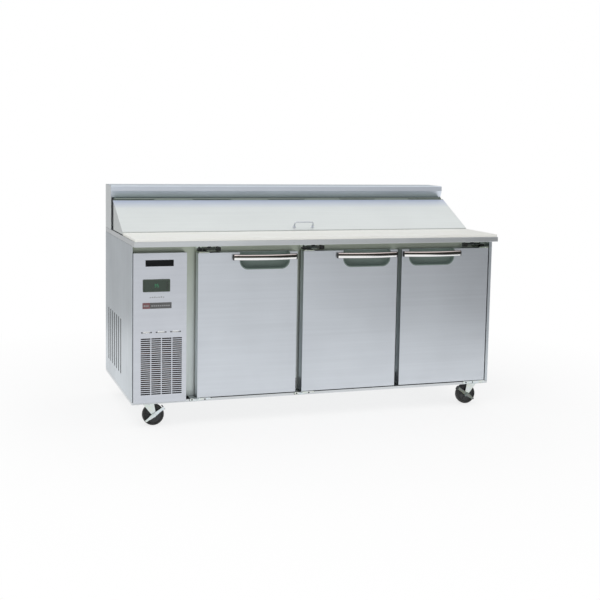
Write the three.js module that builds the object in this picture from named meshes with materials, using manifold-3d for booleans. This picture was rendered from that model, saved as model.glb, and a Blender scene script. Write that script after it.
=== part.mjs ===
// Sandwich prep table: a refrigerated cabinet on four casters, with a machine
// compartment at its left, three insulated doors, a steel worktop with a white
// cutting board, and a pan well under a sloping lid that hinges from a hood.
//
// Millimetres, +Z up. Pieces are modelled with X from the left side panel,
// Y behind the plane of the door fronts and Z above the floor. One group then
// puts the origin under the middle of the table, on the floor.

import * as THREE from 'three';
import { mergeVertices } from 'three/addons/utils/BufferGeometryUtils.js';
import { ConvexGeometry } from 'three/addons/geometries/ConvexGeometry.js';
import Module from 'manifold-3d';

const wasm = await Module();
wasm.setup();

// ---------------------------------------------------------------- dimensions

// The whole table.
const LENGTH = 1800;
const BODY_DEPTH = 755;
const WORKTOP_OVERHANG = 58;
const BASE_BOTTOM = 115;
const BASE_TOP = 128;
const WORKTOP_TOP = 860;
const WORKTOP_EDGE = 23.4;
const HOOD_TOP = 1078;

// Sheet metal and clearances.
const GAP = 0.3;
const SLIVER = 0.05;
const PANEL_SHEET = 3;
const FRONT_SHEET = 2.5;
const DOOR_SHEET = 1.5;

// Carcass behind the doors.
const FRAME_FRONT = 62;
const FRAME_BACK = 74;
const FRAME_OVERLAP = 24;
const TOP_RAIL_BOTTOM = 790;
const PARTITION = 253;
const CAVITY = { left: 300, right: 1750, back: 700, bottom: 170, top: 790 };
const WELL_CAVITY = { left: 60, right: 1740, front: 278, back: 640, bottom: 740 };
const WELL_BOX_FRONT = 230;
const WELL_BOX_BOTTOM = 690;
const LEDGE_TOP = 420;
const LEDGE_HEIGHT = 6;
const LEDGE_DEPTH = 12;
const LEDGE_FRONT = FRAME_BACK + 6;
const SHELF_HOOK = { half: 25, reach: 16 };

// Doors, from left to right.
const DOORS = [
  { left: 302, right: 778, hinge: 'left' },
  { left: 809, right: 1288, hinge: 'left' },
  { left: 1312, right: 1781, hinge: 'right' },
];
const DOOR_BOTTOM = 132;
const DOOR_TOP = 800.5;
const DOOR_THICKNESS = 48;
const HINGE_INSET = 12;
const HINGE_BEHIND = 8;
const HINGE_PIN = 4;
const HINGE = {
  sheet: 3, pinDepth: 14,
  lowerReach: { left: [-36, 66], right: [-4, 118] }, tongue: [-3, 44], tongueBack: 24,
  plate: [2, 122], plateHeight: 26, arm: [2, 52],
};
const GASKET_INSET = 10;
const GASKET_WIDTH = 12;

// Door pulls: a bowed bar over a hand recess that is open at the door's top.
const PULL = { length: 314, height: 26, thickness: 10, bow: 34, middle: 778, fromEdge: 2 };
const CUP = { width: 237, depth: 28, bottom: 723, corner: 38, wall: 2 };

// Machine compartment front.
const MACHINE_PANEL = { left: 6, right: 250, bottom: 121, top: 804 };
const GRILLE = {
  left: 40.5, columns: 4, pitchX: 48.3, slotWidth: 43.5,
  top: 418, rows: 28, pitchZ: 9.4, slotHeight: 5.6,
};
const LANCES = { left: 42, count: 3, pitch: 66.5, width: 48, height: 3, level: 442 };
const DISPLAY = { left: 49, right: 173, bottom: 629, top: 686, lip: 4, proud: 3, depth: 34 };
const MACHINE_RETURNS = { side: 22, top: 30, foldedEdge: 22 };
const LOUVRES = { first: 296, count: 7, pitch: 59.7, width: 18, bottom: 198, top: 463 };
const STILE_WIDTH = 14.5;
const BACK_VENTS = { left: 40, right: 210, bottom: 200, count: 10, pitch: 26, height: 8 };
const CROSS_MEMBERS = { at: [PARTITION + 20, 790, 1300], width: 30 };

// Pan well and pans.
const WELL = { left: 113, right: 1687, front: 293, back: 602 };
const PAN = {
  left: 105, length: 530, front: 285, width: 325,
  rim: 11, depth: 98, taper: 12, wall: 1.6, corner: 28, rimThickness: 2, between: 2,
};
const PAN_COUNT = 3;

// Board, housing, hood and lid.
const BOARD = { left: 4, right: 1796, front: -56, back: 266, thickness: 12 };
const HOUSING = { front: 590, wallFront: 640, wall: 10, top: 1058 };
const HOOD = { nose: 577, lip: 620, lipBottom: 1018, fold: 1052, chin: 590, chinBottom: 1021, round: 5 };
const LID = {
  left: 4, right: 1796, front: 272, bottom: 863.5, edge: 876,
  back: 551, top: 1009.5, thickness: 8, cheekBack: 536,
};
const LID_AXIS = { y: 560, z: 1012 };
const KNUCKLE = { outer: 5.5, pin: 3, bore: 3.3, count: 9, gap: 1, left: 12, right: 1788 };
const LID_HANDLE = { middle: 908, width: 96, reach: 26, wire: 3.2, y: 300 };

// Casters: swivel axis, and which way the wheel trails from it along X.
const CASTERS = [
  { name: 'caster_fl', x: 86, y: 72, trail: 25, brake: true },
  { name: 'caster_fr', x: 1740, y: 72, trail: -25, brake: true },
  { name: 'caster_rl', x: 86, y: 683, trail: 25, brake: false },
  { name: 'caster_rr', x: 1740, y: 683, trail: -25, brake: false },
];
const WHEEL = { radius: 50, width: 32, hub: 15, bore: 5.6, hubWidth: 35 };
const FORK = {
  gapHalf: 18.5, sheet: 3, crownBottom: 102, crownTop: 105,
  topHalf: 27, bottomHalf: 10, boltHead: 8,
};
const PLATE = { lengthX: 92, lengthY: 70, bottom: 112, race: 22, kingpin: 5, corner: 8 };
const BRAKE = {
  tail: 46, tip: 59, waist: 12, boss: 8, end: 5, sheet: 3,
  padStart: 54, padHalf: 9, padBack: 4, angle: 35,
};

// Refrigeration.
const CONDENSER = {
  left: 30, right: 235, front: 45, back: 85, bottom: 150, top: 430,
  groove: 4, grooves: 12, grooveDepth: 14, cowlEdge: 4, cowlDepth: 26,
};
const FAN = {
  x: 132.5, z: 290, radius: 84, hub: 20, front: 97, back: 121,
  blades: 5, chord: 38, pitch: 35, bladeSheet: 2,
};
const MOTOR = { radius: 24, front: 124, back: 165, armReach: 96, armHalf: 8, armSheet: 6 };
const COMPRESSOR = { x: 128, y: 440, radius: 76, bottom: 128, height: 180, footX: 95, footY: 60 };
const EVAPORATOR = {
  left: 520, right: 1530, front: 655, bottom: 625, top: 735, grooves: 14, groove: 12,
};
const SHELF = { rod: 6, wire: 4, wires: 6, front: 78, back: 697 };

// ----------------------------------------------------------------- materials

const paint = (color, roughness, metalness) => () =>
  new THREE.MeshStandardMaterial({ color, roughness, metalness });
const steel = paint(0xb9c0c8, 0.38, 0.9);
const liningSteel = paint(0xa9b0b6, 0.42, 0.9);
const frameSteel = paint(0x7f877f, 0.5, 0.8);
const chrome = paint(0xdde1e4, 0.12, 1);
const zinc = paint(0xc9ccc6, 0.35, 0.9);
const whiteBoard = paint(0xf0f1ea, 0.6, 0);
const rubber = paint(0x2a2c2b, 0.85, 0);
const darkPlastic = paint(0x4b5650, 0.5, 0.1);
const displayGlass = paint(0x1c2a22, 0.15, 0.1);
const copper = paint(0x8a6a55, 0.5, 0.7);
const blackPaint = paint(0x1b1c1d, 0.45, 0.3);
const aluminium = paint(0xc3c6c8, 0.45, 0.9);

// ------------------------------------------------------------ shape helpers

// A closed three.js geometry as a solid that can be cut and joined.
function solidOf(geometry) {
  geometry.deleteAttribute('normal');
  geometry.deleteAttribute('uv');
  const merged = mergeVertices(geometry, 1e-4);
  return new wasm.Manifold(new wasm.Mesh({
    numProp: 3,
    vertProperties: new Float32Array(merged.attributes.position.array),
    triVerts: new Uint32Array(merged.index.array),
  }));
}

// A solid as a geometry again, without the hair-thin triangles that cuts leave.
function geometryOf(solid) {
  const { vertProperties, triVerts } = solid.simplify(SLIVER).getMesh();
  const geometry = new THREE.BufferGeometry();
  geometry.setAttribute('position', new THREE.BufferAttribute(vertProperties, 3));
  geometry.setIndex(new THREE.BufferAttribute(triVerts, 1));
  geometry.computeVertexNormals();
  return geometry;
}

const join = (...solids) => solids.flat().reduce((sum, solid) => sum.add(solid));
const cut = (body, ...tools) => tools.flat().reduce((rest, tool) => rest.subtract(tool), body);

function box(x0, x1, y0, y1, z0, z1) {
  const geometry = new THREE.BoxGeometry(x1 - x0, y1 - y0, z1 - z0);
  geometry.translate((x0 + x1) / 2, (y0 + y1) / 2, (z0 + z1) / 2);
  return solidOf(geometry);
}

const X = new THREE.Vector3(1, 0, 0);
const Y = new THREE.Vector3(0, 1, 0);
const Z = new THREE.Vector3(0, 0, 1);

// A flat outline, pushed from one coordinate to another along one axis.
function prism(points, from, to, basis) {
  const shape = new THREE.Shape(points.map(([u, v]) => new THREE.Vector2(u, v)));
  const geometry = new THREE.ExtrudeGeometry(shape, { depth: to - from, bevelEnabled: false });
  geometry.translate(0, 0, from);
  geometry.applyMatrix4(basis);
  return solidOf(geometry);
}
const alongX = new THREE.Matrix4().makeBasis(Y, Z, X);
const alongY = new THREE.Matrix4().makeBasis(X, Z, Y.clone().negate());
const alongZ = new THREE.Matrix4();
const prismX = (points, x0, x1) => prism(points, x0, x1, alongX);
const prismY = (points, y0, y1) => prism(points, -y1, -y0, alongY);
const prismZ = (points, z0, z1) => prism(points, z0, z1, alongZ);

// A round bar along X, Y or Z, with its middle line through (a, b).
function bar(axis, radius, from, to, a, b, sides = 16) {
  const geometry = new THREE.CylinderGeometry(radius, radius, to - from, sides);
  geometry.translate(0, (from + to) / 2, 0);
  if (axis === 'x') geometry.rotateZ(-Math.PI / 2).translate(0, a, b);
  if (axis === 'y') geometry.translate(a, 0, b);
  if (axis === 'z') geometry.rotateX(Math.PI / 2).translate(a, b, 0);
  return solidOf(geometry);
}

// A solid of revolution about Z, from points of [radius, height].
function turned(profile, sides) {
  const geometry = new THREE.LatheGeometry(profile.map(([r, h]) => new THREE.Vector2(r, h)), sides);
  geometry.rotateX(Math.PI / 2);
  return solidOf(geometry);
}

// Points of an arc about (u, v), from one angle to another in degrees.
function arc(u, v, radius, from, to, steps) {
  return Array.from({ length: steps + 1 }, (_, i) => {
    const angle = THREE.MathUtils.degToRad(from + ((to - from) * i) / steps);
    return [u + radius * Math.cos(angle), v + radius * Math.sin(angle)];
  });
}

function roundedRectangle(u0, u1, v0, v1, radius, steps = 3) {
  return [
    ...arc(u1 - radius, v0 + radius, radius, -90, 0, steps),
    ...arc(u1 - radius, v1 - radius, radius, 0, 90, steps),
    ...arc(u0 + radius, v1 - radius, radius, 90, 180, steps),
    ...arc(u0 + radius, v0 + radius, radius, 180, 270, steps),
  ];
}

const repeat = (count, make) => Array.from({ length: count }, (_, i) => make(i));

// ---------------------------------------------------------------- assembly

const table = new THREE.Group();
table.position.set(-LENGTH / 2, WORKTOP_OVERHANG - (BODY_DEPTH + WORKTOP_OVERHANG) / 2, 0);

function add(name, solid, material) {
  const mesh = new THREE.Mesh(geometryOf(solid), material());
  mesh.name = name;
  table.add(mesh);
  return mesh;
}

const UNDER_WORKTOP = WORKTOP_TOP - WORKTOP_EDGE - GAP;
const ON_BASE = BASE_TOP + GAP;
const INNER_LEFT = PANEL_SHEET + GAP;
const INNER_RIGHT = LENGTH - INNER_LEFT;
const INNER_BACK = BODY_DEPTH - PANEL_SHEET - GAP;

function addCarcass() {
  const side = (x0, x1) => box(x0, x1, 0, INNER_BACK, ON_BASE, UNDER_WORKTOP);
  const louvres = repeat(LOUVRES.count, (i) => {
    const y = LOUVRES.first + i * LOUVRES.pitch;
    const half = LOUVRES.width / 2;
    return box(-1, PANEL_SHEET + 1, y - half, y + half, LOUVRES.bottom, LOUVRES.top);
  });
  add('side_panel_left', cut(side(0, PANEL_SHEET), louvres), steel);
  const stile = box(LENGTH - STILE_WIDTH, LENGTH, 0, PANEL_SHEET, ON_BASE, UNDER_WORKTOP);
  add('side_panel_right', join(side(LENGTH - PANEL_SHEET, LENGTH), stile), steel);

  const sheetFront = BODY_DEPTH - PANEL_SHEET;
  const vents = repeat(BACK_VENTS.count, (i) => {
    const z = BACK_VENTS.bottom + i * BACK_VENTS.pitch;
    return box(
      BACK_VENTS.left, BACK_VENTS.right, sheetFront - 1, BODY_DEPTH + 1, z, z + BACK_VENTS.height,
    );
  });
  const backSheet = box(0, LENGTH, sheetFront, BODY_DEPTH, ON_BASE, UNDER_WORKTOP);
  add('back_panel', cut(backSheet, vents), steel);

  const tray = cut(
    box(0, LENGTH, 0, BODY_DEPTH, BASE_BOTTOM, BASE_TOP),
    box(
      PANEL_SHEET, LENGTH - PANEL_SHEET, PANEL_SHEET, sheetFront,
      BASE_BOTTOM + PANEL_SHEET, BASE_TOP + 1,
    ),
  );
  const crossMembers = CROSS_MEMBERS.at.map((x) =>
    box(x, x + CROSS_MEMBERS.width, 1, BODY_DEPTH - 1, BASE_BOTTOM + 1, BASE_TOP - 1));
  const { left, right, bottom } = MACHINE_PANEL;
  const panelNotch = box(left - GAP, right + GAP, -1, PANEL_SHEET + 1, bottom - GAP, BASE_TOP + 1);
  add('base_pan', cut(join(tray, crossMembers), panelNotch), steel);
}

// The foamed cold box: cabinet walls, and the pan well that runs on over the
// machine compartment.
function addLiner() {
  const lowerBox = box(
    PARTITION, INNER_RIGHT, FRAME_BACK + GAP, INNER_BACK, ON_BASE, UNDER_WORKTOP,
  );
  const wellBox = box(
    INNER_LEFT, INNER_RIGHT, WELL_BOX_FRONT, INNER_BACK, WELL_BOX_BOTTOM, UNDER_WORKTOP,
  );
  const { left, right, back, bottom, top } = CAVITY;
  const cabinet = box(left, right, 0, back, bottom, top);
  const well = box(
    WELL_CAVITY.left, WELL_CAVITY.right, WELL_CAVITY.front, WELL_CAVITY.back,
    WELL_CAVITY.bottom, WORKTOP_TOP,
  );
  const ledgeBottom = LEDGE_TOP - LEDGE_HEIGHT;
  const ledges = [
    box(left - 1, right + 1, back - LEDGE_DEPTH, back + 1, ledgeBottom, LEDGE_TOP),
    box(left - 1, left + LEDGE_DEPTH, LEDGE_FRONT, back, ledgeBottom, LEDGE_TOP),
    box(right - LEDGE_DEPTH, right + 1, LEDGE_FRONT, back, ledgeBottom, LEDGE_TOP),
  ];
  add('insulated_liner', join(cut(join(lowerBox, wellBox), cabinet, well), ledges), liningSteel);
}

// The face frame that the door gaskets close on, with a hook for the shelves
// behind each mullion.
function addFrontFrame() {
  const face = box(PARTITION, INNER_RIGHT, FRAME_FRONT, FRAME_BACK, ON_BASE, UNDER_WORKTOP);
  const topRail = box(
    INNER_LEFT, PARTITION + 1, FRAME_FRONT, FRAME_BACK, TOP_RAIL_BOTTOM, UNDER_WORKTOP,
  );
  const openings = DOORS.map(({ left, right }) => box(
    left + FRAME_OVERLAP, right - FRAME_OVERLAP, FRAME_FRONT - 1, FRAME_BACK + 1,
    DOOR_BOTTOM + FRAME_OVERLAP, DOOR_TOP - FRAME_OVERLAP,
  ));
  const hooks = [0, 1].map((i) => {
    const x = (DOORS[i].right + DOORS[i + 1].left) / 2;
    return box(
      x - SHELF_HOOK.half, x + SHELF_HOOK.half, FRAME_BACK - 1, FRAME_BACK + SHELF_HOOK.reach,
      LEDGE_TOP - LEDGE_HEIGHT, LEDGE_TOP,
    );
  });
  add('front_frame', join(cut(join(face, topRail), openings), hooks), frameSteel);
}

function addMachineFront() {
  const { left, right, bottom, top } = MACHINE_PANEL;
  const sheet = FRONT_SHEET;
  const returns = MACHINE_RETURNS;
  const tray = join(
    box(left, right, 0, sheet, bottom, top),
    box(left, left + sheet, 0, returns.side, bottom, top),
    box(right - sheet, right, 0, FRAME_FRONT - 2, bottom, top),
    box(left, right, 0, returns.top, top - sheet, top),
    box(left, right, 0, returns.foldedEdge, bottom, bottom + sheet),
  );
  const slots = repeat(GRILLE.columns * GRILLE.rows, (i) => {
    const x = GRILLE.left + (i % GRILLE.columns) * GRILLE.pitchX;
    const z = GRILLE.top - Math.floor(i / GRILLE.columns) * GRILLE.pitchZ;
    return box(x, x + GRILLE.slotWidth, -1, sheet + 1, z - GRILLE.slotHeight, z);
  });
  const lances = repeat(LANCES.count, (i) => {
    const x = LANCES.left + i * LANCES.pitch;
    return box(x, x + LANCES.width, -1, sheet + 1, LANCES.level, LANCES.level + LANCES.height);
  });
  const screen = (inset, y0, y1) => box(
    DISPLAY.left + inset, DISPLAY.right - inset, y0, y1, DISPLAY.bottom + inset, DISPLAY.top - inset,
  );
  const cutOut = screen(DISPLAY.lip, -1, sheet + 1);
  add('machine_front_panel', cut(tray, wasm.Manifold.union(slots), lances, cutOut), steel);

  const bezel = screen(0, -DISPLAY.proud, -GAP);
  const module = screen(DISPLAY.lip + GAP, -1, DISPLAY.depth);
  add('controller', join(bezel, module), displayGlass);
}

function addWorktop() {
  const slab = box(0, LENGTH, -WORKTOP_OVERHANG, BODY_DEPTH, WORKTOP_TOP - WORKTOP_EDGE, WORKTOP_TOP);
  const well = box(WELL.left, WELL.right, WELL.front, WELL.back, 0, WORKTOP_TOP + 1);
  add('worktop', cut(slab, well), steel);

  const { left, right, front, back, thickness } = BOARD;
  const board = roundedRectangle(left, right, front, back, 4, 2);
  add('cutting_board', prismZ(board, WORKTOP_TOP + GAP, WORKTOP_TOP + GAP + thickness), whiteBoard);
}

function addHousingAndHood() {
  const bottom = WORKTOP_TOP + GAP;
  const { front, wallFront, wall, top } = HOUSING;
  const between = (...rest) => box(PANEL_SHEET, LENGTH - PANEL_SHEET, ...rest);
  add('rear_housing', cut(
    box(0, LENGTH, front, BODY_DEPTH, bottom, HOOD_TOP),
    between(front - 1, wallFront, bottom - 1, HOOD_TOP + 1),
    between(wallFront + wall, BODY_DEPTH - wall, bottom - 1, HOOD_TOP + 1),
    between(wallFront - 1, BODY_DEPTH - wall, top - GAP, HOOD_TOP + 1),
  ), steel);

  const { nose, lip, lipBottom, fold, chin, chinBottom, round } = HOOD;
  const back = BODY_DEPTH - wall - GAP;
  const profile = [
    [lip, lipBottom],
    [chin + 3, lipBottom],
    [chin, chinBottom],
    [nose, fold],
    ...arc(nose + 2 + round, HOOD_TOP - round, round, 180, 90, 4),
    [back, HOOD_TOP],
    [back, top],
    [lip, top],
  ].reverse();
  const noseOnly = box(-1, LENGTH + 1, nose - 5, front - GAP, chinBottom - 5, HOOD_TOP + 5);
  const body = prismX(profile, INNER_LEFT, INNER_RIGHT);
  const fullLengthNose = prismX(profile, 0, LENGTH).intersect(noseOnly);
  add('hood', join(body, fullLengthNose), steel);
}

// The lid and its long hinge. Even knuckles belong to the hood's leaf, which
// carries the pin, and odd ones to the lid.
function addLid() {
  const span = (KNUCKLE.right - KNUCKLE.left) / KNUCKLE.count;
  const segment = (i) => [KNUCKLE.left + i * span, KNUCKLE.left + (i + 1) * span - KNUCKLE.gap];
  const { y, z } = LID_AXIS;
  const knuckle = (i) => bar('x', KNUCKLE.outer, ...segment(i), y, z, 12);
  const indices = repeat(KNUCKLE.count, (i) => i);
  const fixed = indices.filter((i) => i % 2 === 0);
  const moving = indices.filter((i) => i % 2 === 1);

  const leafTop = HOOD.lipBottom - GAP;
  const leafBottom = leafTop - 3;
  const tabs = fixed.map((i) => box(...segment(i), y, y + 8, leafBottom, leafTop - 0.4));
  const leaf = box(KNUCKLE.left, KNUCKLE.right, y + 7, HOOD.lip - 2, leafBottom, leafTop);
  const pin = bar('x', KNUCKLE.pin, KNUCKLE.left, KNUCKLE.right, y, z, 12);
  add('lid_hinge', join(leaf, tabs, fixed.map(knuckle), pin), zinc);

  const { left, right, front, bottom, edge, back, top, thickness, cheekBack } = LID;
  const slope = (top - edge) / (back - front);
  const length = Math.hypot(1, slope);
  const inward = [(thickness * slope) / length, -thickness / length];
  const panel = [
    [front, bottom],
    [front + 2.5, bottom],
    [front + inward[0], edge + inward[1]],
    [back + inward[0], top + inward[1]],
    [back, top],
    [front, edge],
  ];
  const inside = 1;
  const cheek = [
    [front + inside, bottom],
    [cheekBack, bottom],
    [cheekBack, edge + slope * (cheekBack - front) - inside],
    [front + inside, edge - inside],
  ];
  const web = [
    [back - 6, top - 6 * slope - 6],
    [back + 3, top - 6],
    [y + 3, z - 4],
    [y, z + 4.5],
    [back - 2, top - 2],
  ];
  const shell = join(
    prismX(panel, left, right),
    prismX(cheek, left, left + PANEL_SHEET),
    prismX(cheek, right - PANEL_SHEET, right),
    moving.map((i) => join(prismX(web, ...segment(i)), knuckle(i))),
  );
  const bore = bar('x', KNUCKLE.bore, 0, LENGTH, y, z, 16);
  add('lid', cut(shell, bore), steel);
  addLidHandle(edge + slope * (LID_HANDLE.y - front), Math.atan(slope));
}

// A wire bail that stands square to the sloping lid.
function addLidHandle(level, tilt) {
  const { middle, width, reach, wire, y } = LID_HANDLE;
  const half = width / 2;
  const bend = 9;
  const corner = (side) => new THREE.QuadraticBezierCurve3(
    new THREE.Vector3(side * half, 0, reach - bend),
    new THREE.Vector3(side * half, 0, reach),
    new THREE.Vector3(side * (half - bend), 0, reach),
  );
  const path = new THREE.CurvePath();
  const leftCorner = corner(-1);
  const rightCorner = corner(1);
  path.add(new THREE.LineCurve3(new THREE.Vector3(-half, 0, 1), leftCorner.v0));
  path.add(leftCorner);
  path.add(new THREE.LineCurve3(leftCorner.v2, rightCorner.v2));
  path.add(new THREE.QuadraticBezierCurve3(rightCorner.v2, rightCorner.v1, rightCorner.v0));
  path.add(new THREE.LineCurve3(rightCorner.v0, new THREE.Vector3(half, 0, 1)));
  const section = new THREE.Shape(arc(0, 0, wire, 0, 300, 5).map(([u, v]) => new THREE.Vector2(u, v)));
  const sweep = { steps: 26, extrudePath: path, bevelEnabled: false };
  const bail = solidOf(new THREE.ExtrudeGeometry(section, sweep));
  const feet = [-half, half].map((x) => bar('z', 8, GAP, 2.5, x, 0, 12));
  const mesh = add('lid_handle', join(bail, feet), chrome);
  mesh.position.set(middle, y, level);
  mesh.rotation.x = tilt;
}

// The cup's outline as seen from the front, grown by a margin all round.
function cupOutline(middle, grow, top) {
  const half = CUP.width / 2 + grow;
  const bottom = CUP.bottom - grow;
  const radius = CUP.corner + grow;
  return [
    [middle + half, top],
    [middle - half, top],
    ...arc(middle - half + radius, bottom + radius, radius, 180, 270, 6),
    ...arc(middle + half - radius, bottom + radius, radius, 270, 360, 6),
  ];
}

function addDoor(number, { left, right, hinge }) {
  const name = (piece) => `door_${number}_${piece}`;
  const hingeX = hinge === 'left' ? left + HINGE_INSET : right - HINGE_INSET;
  const towardsFree = hinge === 'left' ? 1 : -1;
  const freeEdge = hinge === 'left' ? right : left;
  const pullMiddle = freeEdge - towardsFree * (PULL.fromEdge + PULL.length / 2);
  const above = DOOR_TOP + 20;

  const outer = box(left, right, 0, DOOR_THICKNESS - 2, DOOR_BOTTOM, DOOR_TOP);
  const inner = box(
    left + DOOR_SHEET, right - DOOR_SHEET, DOOR_SHEET, DOOR_THICKNESS,
    DOOR_BOTTOM + DOOR_SHEET, DOOR_TOP - DOOR_SHEET,
  );
  const cupHole = prismY(cupOutline(pullMiddle, GAP, above), -5, CUP.depth + GAP);
  const pinHole = bar('z', HINGE_PIN + 0.4, 0, 1000, hingeX, HINGE_BEHIND, 16);
  add(name('skin'), cut(outer, inner, cupHole, pinHole), steel);

  const clear = DOOR_SHEET + GAP;
  const core = box(
    left + clear, right - clear, clear, DOOR_THICKNESS, DOOR_BOTTOM + clear, DOOR_TOP - clear,
  );
  const sockets = [
    bar('z', HINGE_PIN + 2, DOOR_BOTTOM, DOOR_BOTTOM + 20, hingeX, HINGE_BEHIND, 12),
    bar('z', HINGE_PIN + 2, DOOR_TOP - 20, DOOR_TOP, hingeX, HINGE_BEHIND, 12),
  ];
  add(name('liner'), cut(core, cupHole, sockets), liningSteel);

  const cupBody = prismY(cupOutline(pullMiddle, 0, DOOR_TOP), 0, CUP.depth);
  const hollow = prismY(cupOutline(pullMiddle, -CUP.wall, above), -5, CUP.depth - CUP.wall);
  add(name('cup'), cut(cupBody, hollow), darkPlastic);

  const ring = (inset, y0, y1) =>
    box(left + inset, right - inset, y0, y1, DOOR_BOTTOM + inset, DOOR_TOP - inset);
  const gasketBack = FRAME_FRONT - GAP;
  add(name('gasket'), cut(
    ring(GASKET_INSET, DOOR_THICKNESS + GAP, gasketBack),
    ring(GASKET_INSET + GASKET_WIDTH, DOOR_THICKNESS, FRAME_FRONT),
  ), rubber);

  add(name('handle'), bowHandle(pullMiddle), chrome);
}

// A flat bar that bows out from the door between two feet.
function bowHandle(middle) {
  const { length, height, thickness, bow } = PULL;
  const half = length / 2;
  const rise = bow - thickness;
  const radius = (half * half + rise * rise) / (2 * rise);
  const sweep = THREE.MathUtils.radToDeg(Math.asin(half / radius));
  const centre = radius - rise - GAP;
  const steps = 14;
  const inside = arc(middle, centre, radius, 270 - sweep, 270 + sweep, steps);
  const outside = arc(middle, centre, radius + thickness, 270 + sweep, 270 - sweep, steps);
  const low = PULL.middle - height / 2;
  const high = PULL.middle + height / 2;
  const swept = prismZ([...inside, ...outside], low, high);
  const feet = [-1, 1].map((side) => {
    const x = middle + side * (half - 7);
    return box(x - 7, x + 7, -7, -GAP, low, high);
  });
  const inFront = box(middle - half, middle + half, -100, -GAP, low - 1, high + 1);
  return join(swept, feet).intersect(inFront);
}

function addDoorHinges(number, { left, right, hinge }) {
  const edge = hinge === 'left' ? left : right;
  const inside = hinge === 'left' ? 1 : -1;
  const span = (from, to, ...rest) => {
    const [a, b] = [edge + inside * from, edge + inside * to];
    return box(Math.min(a, b), Math.max(a, b), ...rest);
  };
  const pinX = edge + inside * HINGE_INSET;
  const pin = (z0, z1) => bar('z', HINGE_PIN, z0, z1, pinX, HINGE_BEHIND, 16);
  const tongueTop = DOOR_BOTTOM - 1.2;
  const { sheet, pinDepth, tongue, tongueBack, plate, plateHeight, arm } = HINGE;
  const platesReach = HINGE.lowerReach[hinge];
  add(`lower_hinge_${number}`, join(
    span(...platesReach, -sheet - GAP, -GAP, BASE_BOTTOM + 2, tongueTop),
    span(...tongue, -1, tongueBack, BASE_TOP + GAP, tongueTop),
    pin(tongueTop - 1, DOOR_BOTTOM + pinDepth),
  ), zinc);
  const armBottom = DOOR_TOP + 2;
  add(`upper_hinge_${number}`, join(
    span(...plate, FRAME_FRONT - sheet - GAP, FRAME_FRONT - GAP, armBottom, armBottom + plateHeight),
    span(...arm, -2, FRAME_FRONT - 1, armBottom, armBottom + sheet),
    pin(DOOR_TOP - pinDepth, armBottom + 1),
  ), zinc);
}

function addCaster({ name, x, y, trail, brake }) {
  const wheelX = x + trail;
  const axle = WHEEL.radius;
  const { gapHalf, sheet, crownBottom, crownTop, topHalf, bottomHalf } = FORK;

  const [halfX, halfY] = [PLATE.lengthX / 2, PLATE.lengthY / 2];
  const plateOutline = roundedRectangle(x - halfX, x + halfX, y - halfY, y + halfY, PLATE.corner, 2);
  add(`${name}_plate`, join(
    prismZ(plateOutline, PLATE.bottom, BASE_BOTTOM - GAP),
    bar('z', PLATE.race, crownTop + GAP, PLATE.bottom + 1, x, y, 20),
    bar('z', PLATE.kingpin, crownBottom - 4, PLATE.bottom, x, y, 12),
  ), zinc);

  const leg = [
    [x - topHalf, crownTop],
    [x + topHalf, crownTop],
    ...arc(wheelX, axle, bottomHalf, 20, -200, 8),
  ].reverse();
  const outerHalf = gapHalf + sheet;
  const crown = box(x - topHalf, x + topHalf, y - outerHalf, y + outerHalf, crownBottom, crownTop);
  const crownDisc = bar('z', topHalf, crownBottom, crownTop, x, y, 20);
  const kingpinHole = bar('z', PLATE.kingpin + 0.4, 90, 110, x, y, 16);
  const bolt = join(
    bar('y', WHEEL.bore - 0.6, y - outerHalf - 3, y + outerHalf + 3, wheelX, axle, 12),
    bar('y', FORK.boltHead, y + outerHalf - 1, y + outerHalf + 5, wheelX, axle, 6),
  );
  add(`${name}_fork`, cut(join(
    crown,
    crownDisc,
    prismY(leg, y - outerHalf, y - gapHalf),
    prismY(leg, y + gapHalf, y + outerHalf),
    bolt,
  ), kingpinHole), zinc);

  const r = WHEEL.radius;
  const half = WHEEL.width / 2;
  const hubHalf = WHEEL.hubWidth / 2;
  const wheel = turned([
    [WHEEL.bore, -hubHalf],
    [WHEEL.hub, -hubHalf],
    [WHEEL.hub + 3, -half + 5],
    [r - 12, -half + 5],
    [r - 8, -half],
    [r, -half + 6],
    [r, half - 6],
    [r - 8, half],
    [r - 12, half - 5],
    [WHEEL.hub + 3, half - 5],
    [WHEEL.hub, hubHalf],
    [WHEEL.bore, hubHalf],
    [WHEEL.bore, -hubHalf],
  ], 24);
  const mesh = add(`${name}_wheel`, wheel, rubber);
  mesh.rotation.x = Math.PI / 2;
  mesh.position.set(wheelX, y, axle);

  if (brake) addBrakeLever(name, wheelX, y, axle, Math.sign(trail));
}

// A flat lever on the axle's front end, with a pad bent over the tread.
function addBrakeLever(name, x, y, z, side) {
  const angle = THREE.MathUtils.degToRad(side > 0 ? BRAKE.angle : 180 - BRAKE.angle);
  const along = [Math.cos(angle), Math.sin(angle)];
  const across = [-along[1], along[0]];
  const point = (u, v) => [x + u * along[0] + v * across[0], z + u * along[1] + v * across[1]];
  const { tail, tip, waist, boss, end, sheet, padStart, padHalf, padBack } = BRAKE;
  const stations = [[-tail, end], [-waist, boss], [waist, boss], [tip, end + 1]];
  const outline = [
    ...stations.map(([u, v]) => point(u, -v)),
    ...stations.reverse().map(([u, v]) => point(u, v)),
  ];
  const pad = [
    point(padStart, -padHalf),
    point(tip, -padHalf),
    point(tip, padHalf),
    point(padStart, padHalf),
  ];
  const front = y - FORK.gapHalf - FORK.sheet - GAP - sheet;
  const lever = join(
    prismY(outline, front, front + sheet),
    prismY(pad, front, y + padBack),
  );
  add(`${name}_brake`, cut(lever, bar('y', WHEEL.bore - 0.2, front - 5, front + 10, x, z, 16)), zinc);
}

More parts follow.
